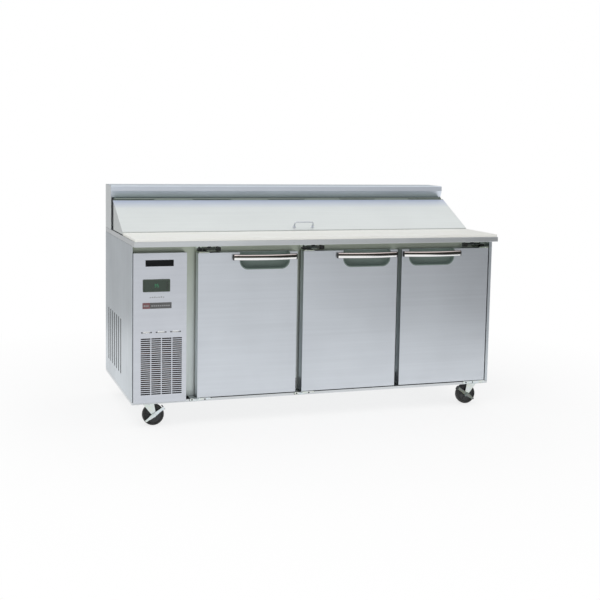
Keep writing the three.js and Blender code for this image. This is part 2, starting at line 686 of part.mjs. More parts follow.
function addCondenser() {
  const { left, right, front, back, bottom, top } = CONDENSER;
  const { groove, grooves, grooveDepth, cowlEdge, cowlDepth } = CONDENSER;
  const pitch = (right - left) / (grooves + 1);
  const fins = repeat(grooves, (i) => {
    const x = left + (i + 1) * pitch;
    return box(x - groove / 2, x + groove / 2, front - 1, front + grooveDepth, bottom + 6, top - 6);
  });
  const cowl = cut(
    box(
      left - cowlEdge, right + cowlEdge, back - 1, back + cowlDepth,
      bottom - cowlEdge, top + cowlEdge,
    ),
    bar('y', FAN.radius + 6, back, back + cowlDepth + 1, FAN.x, FAN.z, 24),
  );
  const motor = bar('y', MOTOR.radius, MOTOR.front, MOTOR.back, FAN.x, FAN.z, 16);
  const armLevels = [FAN.z - MOTOR.armHalf, FAN.z + MOTOR.armHalf];
  const armFront = MOTOR.front + 2;
  const armBack = armFront + MOTOR.armSheet;
  const arms = [-1, 1].map((side) => {
    const foot = FAN.x + side * MOTOR.armReach;
    const [from, to] = [FAN.x, foot].sort((a, b) => a - b);
    return join(
      box(foot - 5, foot + 5, back + cowlDepth - 6, armBack, ...armLevels),
      box(from, to, armFront, armBack, ...armLevels),
    );
  });
  const core = cut(box(left, right, front, back, bottom, top), fins);
  add('condenser', join(core, cowl, motor, arms), copper);
}

function addFan() {
  const blade = (i) => {
    const geometry = new THREE.BoxGeometry(FAN.radius - 10, FAN.bladeSheet, FAN.chord);
    geometry.rotateX(THREE.MathUtils.degToRad(FAN.pitch));
    geometry.translate(FAN.radius / 2 + 5, 0, 0);
    geometry.rotateY((i * 2 * Math.PI) / FAN.blades);
    geometry.translate(FAN.x, (FAN.front + FAN.back) / 2, FAN.z);
    return solidOf(geometry);
  };
  const hub = bar('y', FAN.hub, FAN.front - 1, FAN.back + 1, FAN.x, FAN.z, 16);
  add('condenser_fan', join(hub, repeat(FAN.blades, blade)), blackPaint);
}

function addCompressor() {
  const { x, y, radius, height, footX, footY } = COMPRESSOR;
  const can = turned([
    [0, 0],
    [radius - 22, 0],
    [radius - 6, 12],
    [radius, 34],
    [radius, height * 0.5],
    [radius + 4, height * 0.5 + 3],
    [radius, height * 0.5 + 6],
    [radius, height - 50],
    [radius - 12, height - 22],
    [radius - 38, height - 4],
    [0, height],
  ], 18).translate([x, y, COMPRESSOR.bottom]);
  const trayFloor = BASE_BOTTOM + PANEL_SHEET + GAP;
  const feet = box(x - footX, x + footX, y - footY, y + footY, trayFloor, COMPRESSOR.bottom + 3);
  add('compressor', join(feet, can), blackPaint);
}

function addEvaporator() {
  const { left, right, front, bottom, top, groove, grooves } = EVAPORATOR;
  const coil = box(left, right, front, CAVITY.back - GAP, bottom, top);
  const pitch = (right - left) / (grooves + 1);
  const airways = repeat(grooves, (i) => {
    const x = left + (i + 1) * pitch;
    return box(x - groove / 2, x + groove / 2, front - 1, CAVITY.back - 12, bottom + 12, top - 8);
  });
  add('evaporator', cut(coil, airways), aluminium);
}

// A gastronorm pan that hangs by its rim on the edges of the well.
function addPan(index) {
  const x0 = PAN.left + index * PAN.length + PAN.between / 2;
  const x1 = x0 + PAN.length - PAN.between;
  const y0 = PAN.front;
  const y1 = PAN.front + PAN.width;
  const rimBottom = WORKTOP_TOP + GAP;
  const rimTop = rimBottom + PAN.rimThickness;
  const bottom = rimTop - PAN.depth;
  const bowl = (shrink, floor, lid) => {
    const level = (inset, z) =>
      roundedRectangle(x0 + inset, x1 - inset, y0 + inset, y1 - inset, PAN.corner)
        .map(([u, v]) => new THREE.Vector3(u, v, z));
    return solidOf(new ConvexGeometry([
      ...level(PAN.rim + PAN.taper + shrink, floor),
      ...level(PAN.rim + shrink, lid),
    ]));
  };
  const rim = prismZ(roundedRectangle(x0, x1, y0, y1, PAN.corner + PAN.rim), rimBottom, rimTop);
  const outside = bowl(0, bottom, rimTop);
  const inside = bowl(PAN.wall, bottom + PAN.wall, rimTop + 3);
  add(`pan_${index + 1}`, cut(join(rim, outside), inside), steel);
}

function addShelf(number, x0, x1) {
  const { rod, wire, wires, front, back } = SHELF;
  const low = LEDGE_TOP + GAP;
  const edges = [
    box(x0, x1, front, front + rod, low, low + rod),
    box(x0, x1, back - rod, back, low, low + rod),
    box(x0, x0 + rod, front, back, low, low + rod),
    box(x1 - rod, x1, front, back, low, low + rod),
    box(x0, x1, (front + back - rod) / 2, (front + back + rod) / 2, low, low + rod - 1),
  ];
  const bars = repeat(wires, (i) => {
    const x = x0 + ((i + 1) * (x1 - x0)) / (wires + 1);
    return box(x - wire / 2, x + wire / 2, front + 1, back - 1, low + 1, low + rod - 1.5);
  });
  add(`shelf_${number}`, join(edges, bars), zinc);
}

function addShelves() {
  const dividers = [0, 1].map((i) => (DOORS[i].right + DOORS[i + 1].left) / 2);
  const edges = [CAVITY.left, ...dividers, CAVITY.right];
  repeat(DOORS.length, (i) => addShelf(i + 1, edges[i] + 2, edges[i + 1] - 2));
}

addCarcass();
addLiner();
addFrontFrame();
addMachineFront();
addWorktop();
addHousingAndHood();
addLid();
DOORS.forEach((door, i) => {
  addDoor(i + 1, door);
  addDoorHinges(i + 1, door);
});
CASTERS.forEach(addCaster);
addCondenser();
addFan();
addCompressor();
addEvaporator();
repeat(PAN_COUNT, addPan);
addShelves();

const sandwichPrepTable = new THREE.Group();
sandwichPrepTable.add(table);

export default sandwichPrepTable;
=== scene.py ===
"""Sandwich prep table: the looks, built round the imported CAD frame."""

import math

import bmesh
import bpy
from mathutils import Matrix, Vector


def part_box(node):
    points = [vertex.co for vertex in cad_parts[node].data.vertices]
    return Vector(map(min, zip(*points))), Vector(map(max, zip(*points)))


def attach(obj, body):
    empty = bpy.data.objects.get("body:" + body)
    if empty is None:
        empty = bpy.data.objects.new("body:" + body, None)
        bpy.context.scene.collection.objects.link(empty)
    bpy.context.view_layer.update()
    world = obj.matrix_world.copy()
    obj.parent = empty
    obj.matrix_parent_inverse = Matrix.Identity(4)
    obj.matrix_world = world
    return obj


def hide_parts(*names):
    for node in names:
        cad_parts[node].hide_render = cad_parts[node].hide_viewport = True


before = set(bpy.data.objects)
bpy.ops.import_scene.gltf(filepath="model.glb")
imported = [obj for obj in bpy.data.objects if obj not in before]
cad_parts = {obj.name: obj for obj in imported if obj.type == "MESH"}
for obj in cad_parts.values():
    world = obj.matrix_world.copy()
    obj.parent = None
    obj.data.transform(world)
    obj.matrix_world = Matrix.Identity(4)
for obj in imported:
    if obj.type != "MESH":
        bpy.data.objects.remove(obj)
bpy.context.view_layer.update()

# ---- placing
# Shapes are written in millimetres from the table's left end, the plane of
# the door fronts and the floor, as the CAD source writes them.

MM = 0.001
LEFT_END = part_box("worktop")[0].x
DOOR_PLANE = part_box("door_1_skin")[0].y
CABINET = "cabinet"
CORNERS = ("fl", "fr", "rl", "rr")
DOORS = ((1, -1), (2, -1), (3, 1))  # number and the side of its hinge


def at(x, y, z):
    return Vector((x * MM + LEFT_END, y * MM + DOOR_PLANE, z * MM))


def local_box(node):
    """A CAD node's box in those millimetres: x0, x1, y0, y1, z0, z1."""
    low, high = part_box(node)
    x0, x1 = ((v.x - LEFT_END) / MM for v in (low, high))
    y0, y1 = ((v.y - DOOR_PLANE) / MM for v in (low, high))
    return x0, x1, y0, y1, low.z / MM, high.z / MM


# ---- materials

AXES = "XYZ"


class Nodes:
    """A node tree under construction."""

    def __init__(self, tree):
        self.tree = tree

    def node(self, kind, inputs=(), **settings):
        made = self.tree.nodes.new(kind)
        for key, value in settings.items():
            setattr(made, key, value)
        for key, value in dict(inputs).items():
            self.put(made.inputs[key], value)
        return made

    def put(self, socket, value):
        """Feeds a socket from another socket or with a plain value."""
        if isinstance(value, bpy.types.NodeSocket):
            self.tree.links.new(value, socket)
        elif socket.type == "RGBA":
            socket.default_value = (*value, 1.0)
        else:
            socket.default_value = value

    def ramp(self, value, low, high, to_low=0.0, to_high=1.0, **settings):
        return self.node("ShaderNodeMapRange", {
            "Value": value, "From Min": low, "From Max": high, "To Min": to_low, "To Max": to_high,
        }, **settings).outputs["Result"]

    def math(self, operation, a, b):
        return self.node("ShaderNodeMath", {0: a, 1: b}, operation=operation).outputs[0]

    def blend(self, factor, a, b):
        """Two values mixed by a factor."""
        return self.node("ShaderNodeMix", {"Factor": factor, "A": a, "B": b}).outputs["Result"]

    def mix(self, factor, a, b):
        """Two colours mixed by a factor; each is a socket or a colour."""
        return self.node("ShaderNodeMix", {0: factor, 6: a, 7: b}, data_type="RGBA").outputs[2]

    def axes(self, vector):
        return self.node("ShaderNodeSeparateXYZ", {"Vector": vector}).outputs


class Surface(Nodes):
    """A Principled material and the nodes that feed it."""

    def __init__(self, name, color, roughness, metallic=0.0, **uniform):
        self.material = bpy.data.materials.new(name)
        self.material.use_nodes = True
        super().__init__(self.material.node_tree)
        self.shader = self.tree.nodes["Principled BSDF"]
        self.place = self.node("ShaderNodeTexCoord").outputs["Object"]
        self.color = color
        self.shader.inputs["Base Color"].default_value = (*color, 1.0)
        self.shader.inputs["Roughness"].default_value = roughness
        self.shader.inputs["Metallic"].default_value = metallic
        for socket, value in uniform.items():
            self.shader.inputs[socket.replace("_", " ")].default_value = value

    def scaled(self, scale):
        """Positions in cells per metre, one scale for every axis or one for each."""
        scale = scale if isinstance(scale, tuple) else (scale,) * len(AXES)
        return self.node("ShaderNodeMapping", {"Vector": self.place, "Scale": scale}).outputs[0]

    def noise(self, scale, detail=2.0, rough=0.5, distortion=0.0):
        """Noise from 0 to 1."""
        return self.node("ShaderNodeTexNoise", {
            "Vector": self.scaled(scale), "Scale": 1.0, "Detail": detail,
            "Roughness": rough, "Distortion": distortion,
        }).outputs["Fac"]

    def cells(self, scale):
        return self.node("ShaderNodeTexVoronoi",
                         {"Vector": self.scaled(scale), "Scale": 1.0}).outputs["Color"]

    def tint(self, factor, dark, light):
        """The base colour swings between dark and light times the colour."""
        return self.mix(factor, *(tuple(c * k for c in self.color) for k in (dark, light)))

    def wear(self, color=None, roughness=None, bump=None, strength=0.1, depth=0.0005):
        if color is not None:
            self.put(self.shader.inputs["Base Color"], color)
        if roughness is not None:
            self.put(self.shader.inputs["Roughness"], roughness)
        if bump is not None:
            made = self.node("ShaderNodeBump",
                             {"Height": bump, "Strength": strength, "Distance": depth})
            self.put(self.shader.inputs["Normal"], made.outputs[0])
        return self.material


def grain_scale(along, fine, long):
    return tuple(long if axis == along else fine for axis in AXES)


def brushed(name, color, roughness, along, metallic=1.0, cloud=0.07, streak=0.025, painted_light_bands=()):
    """Satin steel: long fine brushing along one axis, soft clouds and smudges.
    The last argument lists (low, high, color): painted shade and highlights, tones it reaches
    between two heights in metres."""
    s = Surface(name, color, roughness, metallic)
    fine = s.noise(grain_scale(along, 900.0, 9.0), 3.0, 0.6)
    streaks = s.noise(grain_scale(along, 70.0, 1.6), 2.0, 0.5)
    clouds = s.noise(3.1, 2.0, 0.5, 0.4)
    smudges = s.noise(11.0, 3.0, 0.55)
    shade = s.math("ADD", s.ramp(clouds, 0.3, 0.7, 0.0, 0.6), s.ramp(streaks, 0.3, 0.7, 0.0, 0.4))
    swing = cloud + streak
    base = s.tint(shade, 1.0 - swing, 1.0 + swing * 0.5)
    worn = s.math("ADD", s.ramp(fine, 0.25, 0.75, roughness - 0.06, roughness + 0.05),
                  s.ramp(smudges, 0.55, 0.8, 0.0, 0.07))
    relief = s.math("ADD", fine, s.math("MULTIPLY", streaks, 0.6))
    # painted shade and highlights: the colour steps to a set tone between two heights
    for low, high, tone in painted_light_bands:
        height = s.axes(s.place)["Z"]
        base = s.mix(s.ramp(height, low, high), base, tone)
    return s.wear(base, worn, relief, 0.12, 0.0002)


def polished(name, color, roughness, painted_reflection=False):
    """Chrome: bright, with faint finger marks and polishing lines. A bar can also take a painted
    reflection: a dark line across its middle, a rosy highlight along its upper faces and darker
    lower faces, as a rounded face picks them up indoors, set by which way each face turns."""
    s = Surface(name, color, roughness, 1.0)
    marks = s.noise(60.0, 4.0, 0.6)
    lines = s.noise((15.0, 900.0, 900.0), 2.0, 0.5)
    worn = s.math("ADD", s.ramp(marks, 0.5, 0.8, roughness, roughness + 0.12),
                  s.ramp(lines, 0.3, 0.7, 0.0, 0.04))
    tone = s.tint(marks, 0.94, 1.03)
    if painted_reflection:
        # painted reflection: by which way each face turns, a rosy highlight on the upper faces, a
        # dark line across the middle and darker lower faces
        upward = s.axes(s.node("ShaderNodeTexCoord").outputs["Normal"])["Z"]
        rosy = s.mix(s.ramp(upward, 0.28, 0.36), tone, (0.93, 0.80, 0.76))
        band = s.math("MULTIPLY", s.ramp(upward, -0.08, 0.0), s.ramp(upward, 0.36, 0.28))
        band = s.math("MAXIMUM", band, s.ramp(upward, -0.55, -0.80, 0.0, 0.8))
        tone = s.mix(band, rosy, (0.085, 0.078, 0.066))
    return s.wear(tone, worn, lines, 0.03, 0.0001)


def zinc_plated(name, color, roughness):
    """Bright zinc: fine spangle with a slight yellow and blue bloom."""
    s = Surface(name, color, roughness, 1.0)
    spangle = s.cells(420.0)
    bloom = s.noise(24.0, 3.0, 0.6)
    warm = tuple(c * k for c, k in zip(color, (1.0, 1.01, 0.94)))
    cold = tuple(c * k for c, k in zip(color, (0.93, 0.99, 1.04)))
    tone = s.mix(s.ramp(bloom, 0.35, 0.65), cold, warm)
    grey = s.mix(0.10, tone, spangle)
    worn = s.ramp(bloom, 0.3, 0.75, roughness - 0.08, roughness + 0.14)
    return s.wear(grey, worn, bloom, 0.08, 0.0003)


def moulded(name, color, roughness, grain=900.0, swing=0.10, **uniform):
    """Moulded plastic: a fine spark-eroded texture and slight mottling."""
    s = Surface(name, color, roughness, 0.0, **uniform)
    skin = s.noise(grain, 2.0, 0.5)
    mottle = s.noise(28.0, 3.0, 0.6)
    worn = s.ramp(mottle, 0.3, 0.7, roughness - 0.05, roughness + 0.08)
    return s.wear(s.tint(mottle, 1.0 - swing, 1.0 + swing), worn, skin, 0.12, 0.0002)


def chopping_plastic(name):
    """White board plastic with crossing knife marks and faint stains."""
    s = Surface(name, (0.87, 0.872, 0.825), 0.42, 0.0, Specular_IOR_Level=0.4)
    along = s.noise((30.0, 1900.0, 300.0), 3.0, 0.7, 0.25)
    across = s.noise((1500.0, 40.0, 300.0), 3.0, 0.7, 0.3)
    where = s.noise((5.0, 9.0, 5.0), 3.0, 0.6)
    cuts = s.math("MULTIPLY", s.math("MAXIMUM", s.ramp(along, 0.66, 0.72),
                                     s.ramp(across, 0.68, 0.74)),
                  s.ramp(where, 0.42, 0.65))
    stain = s.mix(s.ramp(where, 0.35, 0.8), (0.965, 0.97, 0.93), (0.92, 0.92, 0.865))
    marked = s.mix(s.math("MULTIPLY", cuts, 0.30), stain, (0.60, 0.59, 0.54))
    relief = s.math("SUBTRACT", s.noise(700.0, 2.0), s.math("MULTIPLY", cuts, 0.8))
    return s.wear(marked, s.ramp(where, 0.3, 0.7, 0.38, 0.5), relief, 0.2, 0.0003)


def tyre_rubber(name):
    s = Surface(name, (0.022, 0.023, 0.023), 0.62)
    scuffs = s.noise(130.0, 5.0, 0.7)
    dust = s.noise(22.0, 3.0, 0.6)
    grey = s.mix(s.math("MULTIPLY", s.ramp(dust, 0.45, 0.75), s.ramp(scuffs, 0.4, 0.7, 0.2, 0.8)),
                 (0.020, 0.021, 0.021), (0.075, 0.073, 0.068))
    return s.wear(grey, s.ramp(scuffs, 0.3, 0.7, 0.5, 0.8), scuffs, 0.25, 0.0006)


def finned_copper(name, color, metallic=0.75):
    """Heat-exchanger fins: tone that wanders with dust, combed in places."""
    s = Surface(name, color, 0.5, metallic)
    dust = s.noise((40.0, 40.0, 14.0), 4.0, 0.65)
    comb = s.noise((350.0, 350.0, 60.0), 3.0, 0.6, 0.8)
    tone = s.tint(s.math("MULTIPLY", dust, s.ramp(comb, 0.3, 0.7, 0.6, 1.3)), 0.45, 1.75)
    return s.wear(tone, s.ramp(dust, 0.3, 0.7, 0.38, 0.72), comb, 0.3, 0.0006)


def glowing(name, color, strength):
    s = Surface(name, tuple(c * 0.4 for c in color), 0.4)
    s.shader.inputs["Emission Color"].default_value = (*color, 1.0)
    s.shader.inputs["Emission Strength"].default_value = strength
    glow = s.noise(800.0, 2.0)
    return s.wear(s.tint(glow, 0.8, 1.2), s.ramp(glow, 0.3, 0.7, 0.35, 0.5))


MATERIALS = {
    "door": brushed("brushed_door", (0.665, 0.705, 0.755), 0.34, "X", cloud=0.05, streak=0.018),
    "panel": brushed("brushed_panel", (0.65, 0.68, 0.735), 0.34, "X", cloud=0.05, streak=0.015),
    "side": brushed("brushed_side", (0.585, 0.635, 0.675), 0.36, "Z", cloud=0.11),
    "top": brushed("brushed_top", (0.68, 0.71, 0.73), 0.32, "X"),
    "rail": brushed("brushed_rail", (0.67, 0.70, 0.72), 0.32, "X"),
    # painted shade and painted reflection: from 0.972 m up the lid turns blue-grey under the hood,
    # and from 1.0055 m it goes dark at the hinge gap
    "lid": brushed("brushed_lid", (0.765, 0.80, 0.795), 0.38, "X", cloud=0.03, streak=0.012,
                   painted_light_bands=[(0.972, 1.004, (0.55, 0.60, 0.72)),
                           (1.0055, 1.0075, (0.26, 0.30, 0.27))]),
    # painted highlight: the pressed lance hoods are made lighter than the panel steel they are
    # pressed from
    "lance": brushed("brushed_lance_painted_highlight", (0.90, 0.92, 0.92), 0.25, "X", cloud=0.03),
    # painted reflection: above 1.0752 m the hood takes a cooler tone, drawing a thin bluish line
    # along its top edge
    "hood": brushed("brushed_hood", (0.82, 0.88, 0.97), 0.46, "X", cloud=0.04, streak=0.012,
                    painted_light_bands=[(1.0752, 1.0762, (0.76, 0.83, 0.90))]),
    "housing": brushed("brushed_housing", (0.80, 0.84, 0.85), 0.34, "Z", cloud=0.05),
    "lining": brushed("lining_satin", (0.60, 0.625, 0.65), 0.42, "Z"),
    # painted shade: the frame darkens from 0.35 m up to 0.80 m, for the shade under the worktop
    "frame": brushed("frame_satin", (0.72, 0.78, 0.76), 0.45, "Z", cloud=0.10,
                     painted_light_bands=[(0.35, 0.80, (0.50, 0.55, 0.46))]),
    "pan": brushed("pan_satin", (0.66, 0.68, 0.70), 0.26, "X", cloud=0.05),
    "pull": polished("chrome_banded", (0.88, 0.885, 0.88), 0.10, painted_reflection=True),
    "chrome": polished("chrome_bright", (0.70, 0.73, 0.78), 0.10),
    "zinc": zinc_plated("zinc_bright", (0.78, 0.815, 0.81), 0.30),
    "dull_zinc": zinc_plated("zinc_dull", (0.20, 0.22, 0.19), 0.42),
    "strap": zinc_plated("zinc_strap", (0.80, 0.85, 0.74), 0.42),
    "wire": zinc_plated("wire_coated", (0.76, 0.77, 0.76), 0.26),
    "board": chopping_plastic("board_white"),
    "cup": moulded("cup_moulded", (0.19, 0.25, 0.225), 0.42),
    "gasket": moulded("gasket_vinyl", (0.120, 0.135, 0.125), 0.6, 400.0),
    "cap": moulded("cap_black", (0.020, 0.021, 0.020), 0.35),
    # painted shade: near-black, standing for the shade inside the side louvre slots
    "recess": moulded("slot_shade_black", (0.012, 0.013, 0.012), 0.7, Specular_IOR_Level=0.1),
    "bezel": moulded("bezel_olive", (0.060, 0.080, 0.062), 0.40, Specular_IOR_Level=0.3),
    "glass": moulded("display_window", (0.030, 0.050, 0.036), 0.22, 200.0),
    "badge": moulded("badge_black", (0.006, 0.007, 0.008), 0.45, 500.0, Specular_IOR_Level=0.15),
    "red": moulded("strip_red", (0.22, 0.105, 0.11), 0.5, 500.0, Specular_IOR_Level=0.3),
    "grey": moulded("strip_grey", (0.125, 0.128, 0.13), 0.5, 500.0, Specular_IOR_Level=0.3),
    "print": moulded("print_grey", (0.34, 0.35, 0.36), 0.5, 500.0),
    "hub": moulded("hub_plastic", (0.045, 0.048, 0.050), 0.45),
    "tyre": tyre_rubber("tyre_black"),
    "enamel": moulded("enamel_black", (0.018, 0.019, 0.021), 0.28, 300.0, Coat_Weight=0.5),
    # dark brown of dusty fins, darkened further as painted shade of the compartment behind the
    # grille
    "fins": finned_copper("condenser_fins", (0.075, 0.050, 0.036), 0.2),
    "copper": finned_copper("copper_tube", (0.30, 0.20, 0.155), 0.8),
    "aluminium": finned_copper("coil_fins", (0.62, 0.64, 0.66), 0.9),
    "digit": glowing("digit_green", (0.05, 0.50, 0.22), 0.28),
}

# ---- mesh helpers


class Build:
    """A mesh under construction, in the table's millimetres."""

    def __init__(self):
        self.bm = bmesh.new()

    def ring_faces(self, rings, closed_rings=True, closed_path=False, caps=True):
        """Skins a list of rings of points."""
        made = [[self.bm.verts.new(at(*p)) for p in ring] for ring in rings]
        count = len(made[0])
        pairs = list(zip(made, made[1:] + made[:1])) if closed_path else list(zip(made, made[1:]))
        last = count if closed_rings else count - 1
        for a, b in pairs:
            for i in range(last):
                j = (i + 1) % count
                self.bm.faces.new((a[i], a[j], b[j], b[i]))
        if caps and not closed_path and closed_rings:
            self.bm.faces.new(list(reversed(made[0])))
            self.bm.faces.new(made[-1])
        return self

    def box(self, x0, x1, y0, y1, z0, z1):
        low = [(x0, y0, z0), (x1, y0, z0), (x1, y1, z0), (x0, y1, z0)]
        high = [(x, y, z1) for x, y, _ in low]
        return self.ring_faces([low, high])

    def outlines(self, frames, limits, **settings):
        """Rounded rectangles in X and Z, each inset from the limits, at a Y and with a radius."""
        x0, x1, z0, z1 = limits
        return self.ring_faces([
            [(x, y, z) for x, z in rounded(x0 + inset, x1 - inset, z0 + inset, z1 - inset, radius)]
            for inset, y, radius in frames
        ], **settings)

    def prism(self, axis, outline, start, end):
        """A flat outline pushed along an axis. It lists the other two coordinates."""
        return self.ring_faces([[along(axis, u, v, w) for u, v in outline] for w in (start, end)])

    def lathe(self, axis, centre, profile, steps=48, closed=False):
        """Profile points are (radius, height along the axis)."""
        u0, v0, w0 = across(axis, centre)
        rings = [[along(axis, u, v, w0 + h) for u, v in ellipse(r, r, steps, u0, v0)]
                 for r, h in profile]
        return self.ring_faces(rings, closed_path=closed)

    def rod(self, axis, centre, radius, start, end, steps=24, soft=0.0):
        edge = min(soft, radius / 2)
        profile = [(radius, start), (radius, end)]
        if edge:
            profile = [(radius - edge, start), (radius, start + edge),
                       (radius, end - edge), (radius - edge, end)]
        u, v, _ = across(axis, centre)
        return self.lathe(axis, along(axis, u, v, 0), profile, steps)

    def sweep(self, path, section, closed=False, caps=True):
        """A section of (side, up) points carried along a path without twist."""
        points = [Vector(p) for p in path]
        count = len(points)
        rings, side = [], None
        for i, point in enumerate(points):
            before = points[i - 1] if closed or i else points[0]
            after = points[(i + 1) % count] if closed or i + 1 < count else points[-1]
            forward = (after - before).normalized()
            if side is None:
                guide = Vector((0, 0, 1)) if abs(forward.z) < 0.9 else Vector((0, 1, 0))
                side = forward.cross(guide).normalized()
            side = (side - forward * side.dot(forward)).normalized()
            up = side.cross(forward)
            rings.append([tuple(point + side * a + up * b) for a, b in section])
        return self.ring_faces(rings, closed_path=closed, caps=caps)

    def tube(self, path, radius, steps=10, closed=False):
        return self.sweep(path, ellipse(radius, radius, steps), closed)

    def finish(self, name, body, material, slot, replaces=(), smooth=35.0, bevel=0.0):
        bmesh.ops.recalc_face_normals(self.bm, faces=self.bm.faces)
        mesh = bpy.data.meshes.new(name)
        self.bm.to_mesh(mesh)
        self.bm.free()
        piece = add_object(name, mesh)
        mesh.materials.append(MATERIALS[material])
        shade(mesh, smooth)
        if bevel:
            soften(piece, bevel)
        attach(piece, body)
        if replaces:
            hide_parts(*replaces)


def add_object(name, data):
    made = bpy.data.objects.new(name, data)
    bpy.context.scene.collection.objects.link(made)
    return made


QUADRANTS = ((-1, -1), (-1, 1), (1, -1), (1, 1))


def along(axis, u, v, w):
    """A point with w on the axis and u, v on the other two, in X, Y, Z order."""
    return {"X": (w, u, v), "Y": (u, w, v), "Z": (u, v, w)}[axis]


def across(axis, point):
    x, y, z = point
    return {"X": (y, z, x), "Y": (x, z, y), "Z": (x, y, z)}[axis]


def shade(mesh, angle):
    for polygon in mesh.polygons:
        polygon.use_smooth = True
    mesh.set_sharp_from_angle(angle=math.radians(angle))


def soften(piece, width, segments=2, weld=False):
    """Rounded edges, which catch the light as folded sheet does."""
    if weld:
        piece.modifiers.new("weld", "WELD").merge_threshold = 1e-5
    round_off = piece.modifiers.new("edges", "BEVEL")
    round_off.width = width * MM
    round_off.segments = segments
    round_off.limit_method = "ANGLE"
    round_off.angle_limit = math.radians(35)
    round_off.miter_outer = "MITER_ARC"
    round_off.use_clamp_overlap = True
    normals = piece.modifiers.new("normals", "WEIGHTED_NORMAL")
    normals.keep_sharp = True
    normals.weight = 80


def ellipse(a, b, steps, u=0.0, v=0.0, turn=0.0):
    """A ring of points round (u, v); turn is its first point's angle in degrees."""
    angles = (2 * math.pi * i / steps + math.radians(turn) for i in range(steps))
    return [(u + a * math.cos(t), v + b * math.sin(t)) for t in angles]


def hexagon(u, v, radius, turn=0.0):
    return ellipse(radius, radius, 6, u, v, turn)


def spread(first, last, count):
    """Evenly spaced values, both ends included."""
    return [first + (last - first) * i / (count - 1) for i in range(count)]


def arc(u, v, radius, start, end, steps):
    angles = (math.radians(start + (end - start) * i / steps) for i in range(steps + 1))
    return [(u + radius * math.cos(a), v + radius * math.sin(a)) for a in angles]


def rounded(u0, u1, v0, v1, radius, steps=6):
    return [
        *arc(u1 - radius, v0 + radius, radius, -90, 0, steps),
        *arc(u1 - radius, v1 - radius, radius, 0, 90, steps),
        *arc(u0 + radius, v1 - radius, radius, 90, 180, steps),
        *arc(u0 + radius, v0 + radius, radius, 180, 270, steps),
    ]


# ---- the CAD's own sheets

SHEETS = {
    "side_panel_right": ("side", 0.8),
    "back_panel": ("side", 0.8), "base_pan": ("rail", 1.0),
    "insulated_liner": ("lining", 1.5), "front_frame": ("frame", 1.0),
    "machine_front_panel": ("panel", 0.3), "worktop": ("top", 1.6),
    "cutting_board": ("board", 1.8), "rear_housing": ("housing", 1.0),
    # the lid hinge takes the lid's steel, so its knuckles fall in the lid's painted hinge-gap shade
    "hood": ("hood", 1.2), "lid": ("lid", 1.2), "lid_hinge": ("lid", 0.4),
}
for number in (1, 2, 3):
    SHEETS[f"door_{number}_skin"] = ("door", 1.4)
    SHEETS[f"door_{number}_liner"] = ("lining", 0.15)
    SHEETS[f"upper_hinge_{number}"] = ("strap", 0.5)
for corner in CORNERS:
    SHEETS[f"caster_{corner}_plate"] = ("zinc", 0.8)

for node, (look, edge) in SHEETS.items():
    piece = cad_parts[node]
    piece.data.materials.clear()
    piece.data.materials.append(MATERIALS[look])
    soften(piece, edge, weld=True)

# ---- the doors

PULL = {"length": 314, "height": 26, "thickness": 10, "bow": 34, "level": 778, "from_edge": 2,
        "bright": 0.955, "posts": 0.86}  # the last two are shares of its half length
CUP = {"width": 237, "back": 27.6, "bottom": 723, "corner": 38}
CUP_PROFILE = [  # how far it is let out from the outline, and its Y, from the lip to the floor
    (3.0, -0.2), (2.4, -1.1), (0.6, -1.5), (-1.4, -1.0), (-2.4, 1.0), (-3.6, 8.0), (-5.0, 16.0),
    (-7.5, 22.0), (-12.0, 25.4), (-20.0, 26.4), (-34.0, 26.6),
]
CUP_SHELL = -0.8


def cup_outline(middle, grow, top):
    """The recess seen from the front, from its top left round to its top right."""
    half = CUP["width"] / 2 + grow
    bottom = CUP["bottom"] - grow
    radius = CUP["corner"] + grow
    return [
        (middle - half, top),
        *arc(middle - half + radius, bottom + radius, radius, 180, 270, 14),
        *arc(middle + half - radius, bottom + radius, radius, 270, 360, 14),
        (middle + half, top),
    ]


def make_cup(number, middle, top):
    """A moulded hand recess: a rolled lip, draughted walls and a dished floor."""
    build = Build()
    rings = [[(x, y, z) for x, z in cup_outline(middle, grow, top)] for grow, y in CUP_PROFILE]
    build.ring_faces(rings, closed_rings=False, caps=False)
    wall = [[(x, y, z) for x, z in cup_outline(middle, CUP_SHELL, top)] for y in (0.4, CUP["back"])]
    for flat in (rings[-1], wall[-1]):
        build.bm.faces.new([build.bm.verts.new(at(*p)) for p in flat])
    build.ring_faces(wall, closed_rings=False, caps=False)
    bmesh.ops.remove_doubles(build.bm, verts=build.bm.verts, dist=1e-6)
    build.finish(f"door_{number}_recess", f"door_{number}", "cup", "cup_plastic",
                 [f"door_{number}_cup"])


